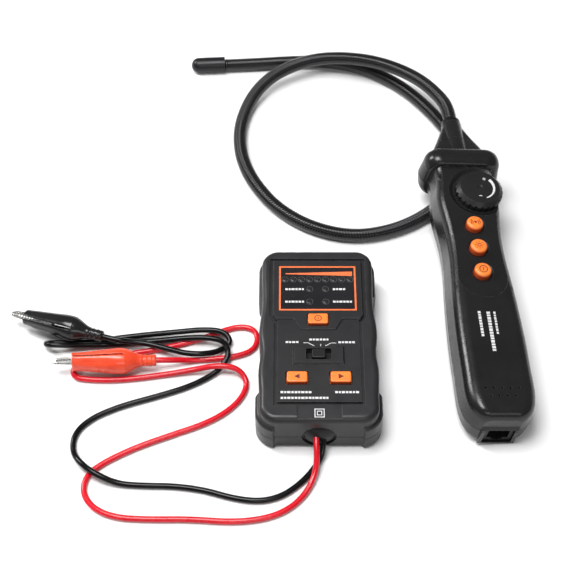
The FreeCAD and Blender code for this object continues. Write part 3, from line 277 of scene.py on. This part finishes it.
STEEL = finish("zinc_steel", (0.50, 0.50, 0.52), (0.40, 0.41, 0.43), (0.28, 0.42),
               grain=2.4, depth=0.02, strength=0.25, bevel=0.1, drift_cells=0.3,
               edge_wear_and_highlight=(0.75, 0.75, 0.76), wear_and_highlight_amount=0.5, Metallic=1.0)
NECK = finish("neck_sleeve", (0.0065, 0.0065, 0.007), (0.009, 0.009, 0.0095), (0.14, 0.22),
              grain=1.4, depth=0.03, strength=0.2, bevel=0.0,
              edge_wear_and_highlight=(0.05, 0.05, 0.05), wear_and_highlight_amount=0.2, Specular_IOR_Level=0.4, Coat_Weight=0.15,
              Coat_Roughness=0.1)
BOARD = finish("solder_mask", (0.012, 0.10, 0.035), (0.010, 0.075, 0.028), (0.28, 0.40),
               grain=1.0, depth=0.03, strength=0.3, bevel=0.05, drift_cells=0.2)
PART = finish("moulded_part", (0.010, 0.010, 0.0105), (0.014, 0.014, 0.0145), (0.42, 0.55),
              grain=2.6, depth=0.03, strength=0.3, bevel=0.1,
              edge_wear_and_highlight=(0.09, 0.09, 0.09), wear_and_highlight_amount=0.3, Specular_IOR_Level=0.3)
BATTERY = finish("battery_jacket", (0.10, 0.105, 0.115), (0.14, 0.145, 0.155), (0.25, 0.38),
                 grain=1.4, depth=0.02, strength=0.2, bevel=0.2, Metallic=0.6)
COPPER = finish("enamelled_copper", (0.52, 0.20, 0.07), (0.42, 0.15, 0.05), (0.2, 0.32),
                grain=3.0, depth=0.05, strength=0.5, bevel=0.05, Metallic=1.0)
PRINT_WHITE = finish("white_print", (0.66, 0.66, 0.66), (0.58, 0.58, 0.58), (0.45, 0.55),
                     grain=3.0, depth=0.01, strength=0.3, bevel=0.0, drift_cells=0.6)
PRINT_GREY = finish("grey_print", (0.085, 0.085, 0.088), (0.065, 0.065, 0.068), (0.40, 0.5),
                    grain=3.0, depth=0.01, strength=0.3, bevel=0.0, drift_cells=0.6)
PRINT_ORANGE = finish("orange_print", (0.80, 0.165, 0.045), (0.72, 0.140, 0.038),
                      (0.40, 0.5), grain=3.0, depth=0.01, strength=0.3, bevel=0.0,
                      drift_cells=0.4)
PRINT_DARK = finish("dark_red_print", (0.10, 0.008, 0.006), (0.14, 0.012, 0.008),
                    (0.40, 0.5), grain=3.0, depth=0.01, strength=0.3, bevel=0.0,
                    drift_cells=0.6)

SLOT_FINISH = {
    "case": CASE, "panel": PANEL, "window": WINDOW, "lamp_lens": LENS, "orange_key": KEY,
    "dial": DIAL, "rubber": RUBBER, "red_wire": RED_WIRE, "black_wire": BLACK_WIRE,
    "red_boot": RED_BOOT, "black_boot": BLACK_BOOT, "plated_steel": PLATED,
    "screw_steel": STEEL, "board": BOARD, "component": PART, "battery": BATTERY,
    "neck": NECK, "copper": COPPER,
}


# ------------------------------------------------------------------ helpers
def add_piece(name, mesh, material, body):
    """Show a finished mesh as one piece that rides on a body."""
    piece = bpy.data.objects.new(name, mesh)
    SCENE.collection.objects.link(piece)
    piece.data.materials.clear()
    piece.data.materials.append(material)
    if body:
        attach(piece, body)
    return piece


def smooth_shaded(mesh, angle):
    """Shade smooth, with edges sharper than the angle left sharp."""
    mesh.shade_smooth()
    mesh.set_sharp_from_angle(angle=math.radians(angle))


def bake(obj):
    """The mesh of an object with its modifiers, in its own coordinates."""
    depsgraph = bpy.context.evaluated_depsgraph_get()
    return bpy.data.meshes.new_from_object(obj.evaluated_get(depsgraph))


# ------------------------------------------------------------ carried nodes
for row in frame["record"]["subparts"]:
    node = NODES[row["node"]]
    node.data.materials.clear()
    node.data.materials.append(SLOT_FINISH[row["material_slot"]])
NODES["probe_tip"].data.materials[0] = TIP
for name in ("receiver_front_shell", "receiver_back_shell", "nose_cap",
             "receiver_battery_door"):
    NODES[name].data.materials[0] = RECEIVER_CASE

# -------------------------------------------------------------------- cords
LEAD_D = 3.3
NECK_D = 8.4
# Control points in millimetres, from where each cord leaves its case to its far end.
RED_LEAD = [
    (-1.7, -57.0, 12.0), (-1.5, -63.0, 10.6), (-1.2, -69.5, 7.2), (-2.6, -77.5, 3.2),
    (-8.0, -88.0, 1.65), (-17.0, -96.5, 1.65), (-29.0, -101.5, 1.65), (-46.0, -103.4, 1.65),
    (-68.0, -101.6, 1.65), (-90.0, -101.8, 1.65), (-107.0, -100.8, 1.65),
    (-119.0, -95.6, 1.65), (-125.6, -86.5, 1.65), (-124.6, -76.0, 1.65),
    (-116.5, -68.4, 1.65), (-100.0, -59.0, 1.65), (-80.0, -50.8, 1.65),
    (-62.6, -44.0, 1.65), (-49.8, -35.8, 1.65), (-41.6, -25.8, 1.65), (-39.4, -16.0, 1.9),
    (-45.0, -9.6, 5.4), (-56.0, -8.6, 6.9), (-70.0, -9.2, 3.0), (-86.0, -11.6, 1.65),
    (-104.0, -14.4, 1.65), (-117.0, -15.4, 1.65), (-127.5, -15.0, 1.65),
    (-136.1, -13.9, 1.65), (-138.6, -9.3, 1.65), (-136.1, -4.7, 1.65),
    (-127.5, -2.6, 1.65), (-113.0, 1.8, 1.65), (-97.0, 4.2, 1.65), (-80.0, 8.4, 1.65),
    (-66.0, 13.2, 1.65), (-54.0, 18.8, 1.65), (-44.2, 21.8, 1.65), (-36.2, 19.8, 1.65),
    (-33.8, 12.4, 1.65), (-36.6, 4.9, 1.65), (-45.8, 0.8, 1.65), (-58.0, -1.0, 1.65),
    (-71.0, -1.8, 1.65),
    (-82.86, -5.04, 6.77), (-90.78, -5.54, 7.22),
]
BLACK_LEAD = [
    (2.4, -57.0, 10.0), (2.3, -61.0, 7.6), (0.9, -66.5, 3.0), (-4.6, -74.5, 1.65),
    (-12.0, -82.5, 1.65), (-21.0, -88.8, 1.65), (-32.5, -91.4, 1.65), (-46.0, -89.4, 1.65),
    (-61.0, -84.6, 1.65), (-77.0, -82.2, 1.65), (-93.0, -82.0, 1.65), (-107.0, -81.2, 2.0),
    (-118.4, -77.6, 5.6), (-127.9, -70.6, 5.6), (-133.6, -60.8, 1.8), (-133.2, -49.6, 1.65),
    (-124.8, -40.0, 1.65), (-109.0, -32.2, 1.65), (-90.0, -26.2, 1.65),
    (-72.5, -19.8, 1.65), (-60.6, -12.9, 1.65), (-53.6, -6.9, 3.0), (-49.9, 0.1, 6.0),
    (-52.9, 8.0, 6.2), (-61.0, 11.0, 5.6), (-73.0, 11.4, 5.2), (-88.0, 10.9, 3.2),
    (-103.0, 10.4, 1.65), (-119.0, 8.6, 1.65), (-134.0, 6.9, 3.6), (-145.4, 5.2, 6.6),
    (-153.0, 5.0, 7.2), (-155.3, 7.6, 4.4), (-153.0, 10.2, 1.65), (-145.4, 10.3, 1.65),
    (-130.0, 10.7, 1.65), (-114.0, 13.6, 1.65), (-98.0, 14.9, 3.0), (-82.0, 15.2, 5.0),
    (-66.0, 16.8, 5.6), (-53.6, 16.0, 5.2), (-48.9, 9.8, 2.9), (-55.4, 4.4, 1.9),
    (-63.8, -0.5, 5.9), (-75.0, 0.0, 5.8), (-86.5, 3.9, 5.5), (-97.5, 6.8, 6.0),
    (-106.5, 7.2, 7.2),
    (-114.39, 7.08, 9.10), (-122.02, 9.33, 9.20),
]
GOOSENECK = [
    (85.23, 160.81, 26.88), (84.61, 171.73, 27.40),
    (80.6, 184.0, 25.8), (70.8, 201.8, 22.5), (57.0, 216.2, 19.4), (40.0, 226.6, 17.2),
    (21.0, 231.9, 15.4), (3.0, 232.0, 14.4), (-13.5, 226.6, 13.2), (-28.5, 218.2, 10.6),
    (-39.2, 206.4, 6.8), (-45.8, 190.0, 4.4), (-48.4, 171.0, 4.2), (-46.0, 150.0, 4.2),
    (-38.2, 130.0, 4.2), (-23.6, 108.8, 4.2), (-2.0, 93.2, 4.2), (24.0, 86.3, 4.2),
    (51.0, 92.4, 4.2), (73.5, 107.4, 4.2), (89.4, 126.6, 4.2), (94.8, 149.0, 4.2),
    (88.6, 172.5, 4.2), (75.6, 195.6, 4.2), (57.8, 217.6, 4.2), (35.4, 233.4, 4.2),
    (9.5, 240.6, 4.2), (-17.5, 239.6, 4.2), (-39.0, 237.6, 4.2), (-59.3, 236.4, 4.2),
]


def nurbs_route(name, points):
    """The route of a cord: one open NURBS spline through its control points."""
    data = bpy.data.curves.new(name, "CURVE")
    data.dimensions = "3D"
    spline = data.splines.new("NURBS")
    spline.points.add(len(points) - 1)
    for point, at in zip(spline.points, points):
        point.co = (*(v * MM for v in at), 1.0)
    spline.order_u = 3
    spline.use_endpoint_u = True
    data.resolution_u = 24
    return bpy.data.objects.new(name, data)


def lead(name, points, material, slot):
    """A round lead: the route with its section swept along it."""
    flex = nurbs_route(name, points)
    SCENE.collection.objects.link(flex)
    flex.data.bevel_depth = LEAD_D / 2 * MM
    flex.data.bevel_resolution = 6
    flex.data.use_fill_caps = True
    flex.data.materials.append(material)
    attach(flex, "transmitter")
    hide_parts(slot.replace("wire", "lead"))
    return flex


def route_samples(points, step):
    """Points read from the route's own spline, evenly spaced along it, in metres."""
    route = nurbs_route("route", points)
    route.data.resolution_u = 80
    SCENE.collection.objects.link(route)
    line = bake(route)
    at = np.array([v.co for v in line.vertices])
    bpy.data.objects.remove(route)
    run = np.concatenate([[0], np.cumsum(np.linalg.norm(np.diff(at, axis=0), axis=1))])
    count = int(round(run[-1] / step))
    along = np.linspace(0, run[-1], count + 1)
    return np.stack([np.interp(along, run, at[:, k]) for k in range(3)], axis=1)


def ring_frames(path):
    """Two cross directions at each point, carried along without twist."""
    ahead = np.gradient(path, axis=0)
    ahead /= np.linalg.norm(ahead, axis=1)[:, None]
    side = np.cross(ahead[0], (0, 0, 1))
    side /= np.linalg.norm(side)
    frames = []
    for direction in ahead:
        side = side - direction * side.dot(direction)
        side /= np.linalg.norm(side)
        frames.append((side, np.cross(direction, side)))
    return frames


def ribbed_tube(name, path, radii, sides):
    """A closed tube along a path whose radius changes ring by ring."""
    turns = [(math.cos(2 * math.pi * k / sides), math.sin(2 * math.pi * k / sides))
             for k in range(sides)]
    verts = []
    for at, radius, (side, over) in zip(path, radii, ring_frames(path)):
        verts += [tuple(at + radius * (c * side + s * over)) for c, s in turns]
    faces = []
    for i in range(len(path) - 1):
        for k in range(sides):
            a, b = i * sides + k, i * sides + (k + 1) % sides
            faces.append((a, b, b + sides, a + sides))
    faces.append(tuple(reversed(range(sides))))
    faces.append(tuple(range((len(path) - 1) * sides, len(path) * sides)))
    mesh = bpy.data.meshes.new(name)
    mesh.from_pydata(verts, [], faces)
    mesh.validate()
    return mesh


RIB_PITCH = 1.7
RIB_STEPS = 6               # rings in one rib
RIB_DEPTH = 0.42
RIB_FULLNESS = 0.6          # below 1 the crests are broad and the grooves narrow
NECK_SIDES = 28
NECK_SHARP = 75.0


def build_neck():
    """The gooseneck's sleeve: close round ribs along the whole neck."""
    path = route_samples(GOOSENECK, RIB_PITCH / RIB_STEPS * MM)
    profile = [abs(math.sin(math.pi * k / RIB_STEPS)) ** RIB_FULLNESS
               for k in range(RIB_STEPS)]
    radii = [(NECK_D / 2 - RIB_DEPTH * (1 - profile[i % RIB_STEPS])) * MM
             for i in range(len(path))]
    mesh = ribbed_tube("gooseneck_sleeve", path, radii, NECK_SIDES)
    smooth_shaded(mesh, NECK_SHARP)
    sleeve = add_piece("gooseneck_sleeve", mesh, NECK, "receiver")
    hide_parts("gooseneck")


build_neck()


# -------------------------------------------------------------------- boots
BOOT_VOXEL = 0.34
RELAX_SHARE = 0.5
RELAX_PASSES = 6
BOOT_SHARP = 60.0
CREASE_ANGLES = (38.0, 142.0, -38.0, -142.0)        # round the boot
CREASE_DEPTH = 0.42
CREASE_WIDTH = 13.0
CREASE_SPAN = (-14.0, 9.0)
CREASE_EASE = (6.0, 5.0)    # run-in at each end
LIP_X = 10.0                # raised ring at the mouth
LIP_HEIGHT = 0.16
LIP_WIDTH = 1.1
NECK_SPAN = (-35, -26.5)    # fine rings round the neck
NECK_RING_X = -30.0
NECK_RING_PITCH = 2.6
NECK_RING_HEIGHT = 0.14
FLAP_END_X = -17.9
TUCK = (1.4, 1.2, 1.1)      # where it starts, how soon it is full, how far it runs


def soft_copy(node):
    """A CAD node's form with its edges rounded off, as an even mesh."""
    holder = bpy.data.objects.new("holder", NODES[node].data.copy())
    SCENE.collection.objects.link(holder)
    remesh = holder.modifiers.new("even", "REMESH")
    remesh.mode = "VOXEL"
    remesh.voxel_size = BOOT_VOXEL * MM
    relax = holder.modifiers.new("relax", "SMOOTH")
    relax.factor = RELAX_SHARE
    relax.iterations = RELAX_PASSES
    mesh = bake(holder)
    bpy.data.objects.remove(holder)
    return mesh


def share_of(part, whole):
    """How much of the whole the part is, from 0 to 1."""
    return min(1.0, max(0.0, part / whole))


def shape_boot(mesh, place):
    """Press the moulded creases, a lip at the mouth and fine rings round the neck into a boot.
    """
    inverse = place.inverted()
    for vert in mesh.vertices:
        x, y, z = (inverse @ vert.co) / MM
        radius = math.hypot(y, z)
        angle = math.degrees(math.atan2(y, z))
        ease_in = share_of(x - CREASE_SPAN[0], CREASE_EASE[0])
        ease_out = share_of(CREASE_SPAN[1] - x, CREASE_EASE[1])
        push = 0.0
        for centre in CREASE_ANGLES:
            off = (angle - centre + 180) % 360 - 180
            push += CREASE_DEPTH * ease_in * ease_out * math.exp(-(off / CREASE_WIDTH) ** 2)
        lip = LIP_HEIGHT * math.exp(-((x - LIP_X) / LIP_WIDTH) ** 2)
        rings = 0.0
        if NECK_SPAN[0] < x < NECK_SPAN[1]:
            turn = (x - NECK_RING_X) * 2 * math.pi / NECK_RING_PITCH
            rings = NECK_RING_HEIGHT * math.cos(turn)
        scale = (radius - push + lip + rings) / max(radius, 0.01)
        vert.co = place @ (Vector((x, y * scale, z * scale)) * MM)


def tuck_flap(mesh, place):
    """Run the flap's rear edge on into the sleeve, so that the vinyl looks unbroken."""
    start, ease, reach = TUCK
    inverse = place.inverted()
    for vert in mesh.vertices:
        x, y, z = (inverse @ vert.co) / MM
        share = share_of(FLAP_END_X + start - x, ease)
        vert.co = place @ (Vector((x - reach * share, y, z)) * MM)


def wind_spring(colour):
    """The clip's spring, copied from its CAD node as one fixed piece."""
    name = colour + "_clip_spring"
    coil = add_piece(colour + "_spring_coil", NODES[name].data.copy(), STEEL, None)
    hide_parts(name)
    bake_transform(coil)
    return coil


def build_clip(colour, spec, points, materials):
    """The clip's two boot parts, then the lead that ends in it."""
    wire, boot = materials
    place = clip_place(spec)
    boot_place = place @ Matrix.Translation((BOOT_PUSH[colour] * MM, 0, 0))
    half_mesh = soft_copy(colour + "_boot_half")
    shape_boot(half_mesh, boot_place)
    smooth_shaded(half_mesh, BOOT_SHARP)
    half = add_piece(colour + "_boot_sleeve", half_mesh, boot, "transmitter")
    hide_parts(colour + "_boot_half")
    flap_mesh = soft_copy(colour + "_boot_flap")
    shape_boot(flap_mesh, boot_place)
    tuck_flap(flap_mesh, boot_place)
    smooth_shaded(flap_mesh, BOOT_SHARP)
    flap = add_piece(colour + "_boot_lid", flap_mesh, boot, None)
    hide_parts(colour + "_boot_flap")
    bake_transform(flap)
    metal = [NODES[f"{colour}_clip_{n}"] for n in ("fixed_jaw", "moving_jaw", "pin")]
    metal.append(wind_spring(colour))
    lead(colour + "_flex", points, wire, colour + "_wire")


build_clip("red", RED_CLIP, RED_LEAD, (RED_WIRE, RED_BOOT))
build_clip("black", BLACK_CLIP, BLACK_LEAD, (BLACK_WIRE, BLACK_BOOT))


# ------------------------------------------------------------ printed marks
PRINT_THICK = 0.05


def printed(name, loops, material, body, place, z):
    """Flat marks of ink: closed outlines filled, with inner outlines left open."""
    data = bpy.data.curves.new(name, "CURVE")
    data.dimensions = "2D"
    data.fill_mode = "BOTH"
    data.extrude = PRINT_THICK / 2 * MM
    for loop in loops:
        spline = data.splines.new("POLY")
        spline.points.add(len(loop) - 1)
        for point, (x, y) in zip(spline.points, loop):
            point.co = (x * MM, y * MM, 0.0, 1.0)
        spline.use_cyclic_u = True
    holder = bpy.data.objects.new(name, data)
    SCENE.collection.objects.link(holder)
    mesh = bake(holder)
    bpy.data.objects.remove(holder)
    work = bmesh.new()
    work.from_mesh(mesh)
    bmesh.ops.remove_doubles(work, verts=work.verts, dist=1e-7)
    work.to_mesh(mesh)
    work.free()
    mesh.transform(place @ Matrix.Translation((0, 0, z * MM)))
    return add_piece(name, mesh, material, body)


def circle(x, y, radius, count=40):
    turns = [math.radians(360.0 * k / count) for k in range(count)]
    return [(x + radius * math.cos(a), y + radius * math.sin(a)) for a in turns]


def ring(x, y, outer, inner):
    return [circle(x, y, outer), circle(x, y, inner)]


def rectangle(x0, y0, x1, y1):
    return [(x0, y0), (x1, y0), (x1, y1), (x0, y1)]


DASH_WIDTHS = (1.5, 1.1, 1.8, 1.3)
DASH_GAP = 0.45
DASH_OVERRUN = 0.3


def dashes(x0, x1, y, height):
    """A row of short blocks between two ends."""
    blocks, x, k = [], x0, 0
    while x + DASH_WIDTHS[k % 4] <= x1 + DASH_OVERRUN:
        width = DASH_WIDTHS[k % 4]
        blocks.append(rectangle(x, y - height / 2, x + width, y + height / 2))
        x += width + DASH_GAP
        k += 1
    return blocks


def stroke(points, width):
    """An open line drawn with a round pen."""
    left, right = [], []
    for i, (x, y) in enumerate(points):
        before = points[max(i - 1, 0)]
        after = points[min(i + 1, len(points) - 1)]
        dx, dy = after[0] - before[0], after[1] - before[1]
        size = math.hypot(dx, dy)
        nx, ny = -dy / size * width / 2, dx / size * width / 2
        left.append((x + nx, y + ny))
        right.append((x - nx, y - ny))
    return left + right[::-1]


def arc_band(x, y, radius, start, turn, width_start, width_end, count=36):
    """Part of a ring whose width changes along it."""
    outer, inner = [], []
    for k in range(count + 1):
        t = k / count
        a = math.radians(start + turn * t)
        half = (width_start + (width_end - width_start) * t) / 2
        outer.append((x + (radius + half) * math.cos(a), y + (radius + half) * math.sin(a)))
        inner.append((x + (radius - half) * math.cos(a), y + (radius - half) * math.sin(a)))
    return outer + inner[::-1]


def power_symbol(x, y, radius, pen):
    """A ring with a short upright bar in it."""
    return ring(x, y, radius + pen / 2, radius - pen / 2) + [
        rectangle(x - pen / 2, y - radius * 0.45, x + pen / 2, y + radius * 0.45)]


def sun_symbol(x, y, radius, pen):
    """A small ring with eight rays."""
    loops = ring(x, y, radius * 0.45, radius * 0.45 - pen)
    for k in range(8):
        a = 2 * math.pi * k / 8
        loops.append(stroke([(x + radius * f * math.cos(a), y + radius * f * math.sin(a))
                             for f in (0.66, 1.0)], pen))
    return loops


# Heights at which the ink starts, just above each face.
PANE_Z = 28.56
PANEL_Z = 28.01
APRON_Z = 27.31
ARROW_Z = 29.71
POWER_Z = 30.31
HANDLE_Z = 29.01
DIAL_Z = 32.01
RECEIVER_KEY_Z = 31.41
SEQUENCE_X = [(i - 4) * 4.6 for i in range(9)]
SEQUENCE_Y = 35.4
STATUS_AT = [(s * 4.5, y) for y in (28.5, 19.7) for s in (-1, 1)]
LAMP_RING = (1.95, 1.7)
ARROW_AT = (11.8, -30.9)
POWER_AT = (0.0, 7.2)
DIAL_AT = (6.2, 153.2)
SCAN_Y, LAMP_Y, RECEIVER_POWER_Y = 127.7, 111.2, 94.4


def transmitter_marks():
    """The marks on the display, the panel and the transmitter's buttons."""
    def mark(name, loops, material, z, body="transmitter"):
        printed(name, loops, material, body, TRANSMITTER_PLACE, z)

    mark("display_frame_line", [rectangle(-21.8, 13.6, 21.8, 44.9),
                                rectangle(-20.8, 14.6, 20.8, 43.9)], PRINT_ORANGE, PANE_Z)
    mark("level_wedge", [[(-18.2, 39.2), (19.8, 37.9), (19.8, 41.1), (-18.2, 39.8)]],
         PRINT_ORANGE, PANE_Z)
    rings = []
    for x, y in [(x, SEQUENCE_Y) for x in SEQUENCE_X] + STATUS_AT:
        rings += ring(x, y, *LAMP_RING)
    mark("lamp_rings", rings, PRINT_GREY, PANE_Z)
    words = dashes(-18.3, -6.8, 28.5, 1.3) + dashes(-18.3, -6.6, 19.7, 1.3)
    words += dashes(8.6, 16.2, 28.5, 1.3) + dashes(8.6, 19.6, 19.7, 1.3)
    mark("status_dashes", words, PRINT_WHITE, PANE_Z)
    labels = dashes(-18.0, -11.0, -7.5, 1.2) + dashes(-5.0, 5.4, -5.8, 1.2)
    labels += dashes(11.0, 20.6, -7.6, 1.2)
    labels += [stroke([(-8.3, -7.9), (-5.8, -7.9), (-2.3, -10.0)], 0.35),
               stroke([(1.2, -8.8), (1.2, -10.1)], 0.35),
               stroke([(9.7, -8.1), (7.0, -8.1), (3.8, -10.0)], 0.35)]
    mark("switch_dashes", labels, PRINT_WHITE, PANEL_Z)
    mark("name_dashes", dashes(-20.7, -3.0, -40.0, 1.3) + dashes(8.5, 21.5, -40.0, 1.3)
         + dashes(-20.7, 6.0, -43.6, 1.3), PRINT_WHITE, PANEL_Z)
    square = [rectangle(-s, -52.6 - s, s, -52.6 + s) for s in (2.7, 2.2, 1.4, 0.95)]
    mark("nested_squares", square, PRINT_WHITE, APRON_Z)
    for side, s in (("left", -1), ("right", 1)):
        x, y = s * ARROW_AT[0], ARROW_AT[1]
        arrow = [(x + s * 1.7, y), (x - s * 1.3, y + 1.6), (x - s * 1.3, y - 1.6)]
        mark(side + "_arrow_mark", [arrow], PRINT_DARK, ARROW_Z, side + "_arrow_button")
    mark("transmitter_power_mark", power_symbol(*POWER_AT, 1.8, 0.45), PRINT_DARK, POWER_Z,
         "transmitter_power_button")


def turned_loops(loops, x):
    """Marks drawn along a row, turned to run down the handle at the given x."""
    return [[(x + py, -px) for px, py in loop] for loop in loops]


def receiver_marks():
    """The marks on the handle, the dial and the receiver's buttons."""
    def mark(name, loops, material, z, body="receiver"):
        printed(name, loops, material, body, RECEIVER_PLACE, z)

    rows = turned_loops(dashes(-67.3, -50.5, 0.0, 1.6), -6.0)
    rows += turned_loops(dashes(-67.0, -40.6, 0.0, 2.0), -0.9)
    rows += turned_loops(dashes(-67.0, -51.0, 0.0, 1.2), 2.6)
    mark("handle_dashes", rows, PRINT_WHITE, HANDLE_Z)

    x, y = DIAL_AT
    dial_marks = [arc_band(x, y, 8.4, 42.0, -112.0, 1.9, 0.6)]
    dial_marks += [rectangle(x + 2.2, y + 5.95, x + 4.2, y + 6.45),
                   rectangle(x + 2.95, y + 5.2, x + 3.45, y + 7.2),
                   rectangle(x - 1.5, y - 6.75, x + 0.3, y - 6.25)]
    mark("dial_scale", dial_marks, PRINT_WHITE, DIAL_Z, "sensitivity_dial")

    scan = [circle(0.0, SCAN_Y, 0.75)]
    for radius in (1.7, 2.7):
        scan += [arc_band(0.0, SCAN_Y, radius, a, 80.0, 0.42, 0.42, 16)
                 for a in (-40, 140)]
    mark("scan_mark", scan, PRINT_DARK, RECEIVER_KEY_Z, "scan_button")
    mark("lamp_mark", sun_symbol(0.0, LAMP_Y, 2.7, 0.42), PRINT_DARK, RECEIVER_KEY_Z,
         "lamp_button")
    mark("receiver_power_mark", power_symbol(0.0, RECEIVER_POWER_Y, 2.2, 0.5), PRINT_DARK,
         RECEIVER_KEY_Z, "receiver_power_button")


transmitter_marks()
receiver_marks()


# ---------------------------------------------------------------- the stage
FLOOR_TONE = 0.86
FLOOR_REACH = 4             # metres, each way
WORLD_STRENGTH = 0.20
LIGHT_AIM = (0, 0.05, 0)


def build_stage():
    mesh = bpy.data.meshes.new("floor")
    corners = [(FLOOR_REACH * x, FLOOR_REACH * y, 0)
               for x, y in ((-1, -1), (1, -1), (1, 1), (-1, 1))]
    mesh.from_pydata(corners, [], [(0, 1, 2, 3)])
    floor = bpy.data.objects.new("floor", mesh)
    SCENE.collection.objects.link(floor)
    paper = finish("pale_floor", (FLOOR_TONE,) * 3, (FLOOR_TONE - 0.01,) * 3, (0.7, 0.8),
                   grain=0.4, depth=0.01, strength=0.05, bevel=0.0, drift_cells=0.004)
    floor.data.materials.append(paper)


def softbox(name, at, size, power):
    data = bpy.data.lights.new(name, "AREA")
    data.shape = "RECTANGLE"
    data.size, data.size_y = size
    data.energy = power
    lamp = bpy.data.objects.new(name, data)
    lamp.location = at
    lamp.rotation_euler = (Vector(LIGHT_AIM) - Vector(at)).to_track_quat("-Z", "Y").to_euler()
    SCENE.collection.objects.link(lamp)


def build_lights():
    world = bpy.data.worlds.new("studio")
    world.use_nodes = True
    background = world.node_tree.nodes["Background"]
    background.inputs["Color"].default_value = (1, 1, 1, 1)
    background.inputs["Strength"].default_value = WORLD_STRENGTH
    SCENE.world = world
    softbox("top_box", (-0.25, 0.0, 1.3), (0.6, 0.6), 19.0)
    softbox("left_box", (-0.95, 0.55, 0.75), (0.25, 0.5), 9.0)
    softbox("front_box", (0.25, -1.2, 0.9), (0.9, 0.3), 4.0)


CAMERA_AT = (-0.01672, -0.41508, 0.61830)
CAMERA_TILT = 37.0
CAMERA_LENS = 81.48
CAMERA_SENSOR = 36.0


def build_camera():
    data = bpy.data.cameras.new("camera")
    data.lens = CAMERA_LENS
    data.sensor_width = CAMERA_SENSOR
    camera = bpy.data.objects.new("camera", data)
    camera.location = CAMERA_AT
    camera.rotation_euler = (math.radians(CAMERA_TILT), 0.0, 0.0)
    SCENE.collection.objects.link(camera)
    SCENE.camera = camera


build_stage()
build_lights()
build_camera()
SCENE.view_settings.view_transform = "Standard"
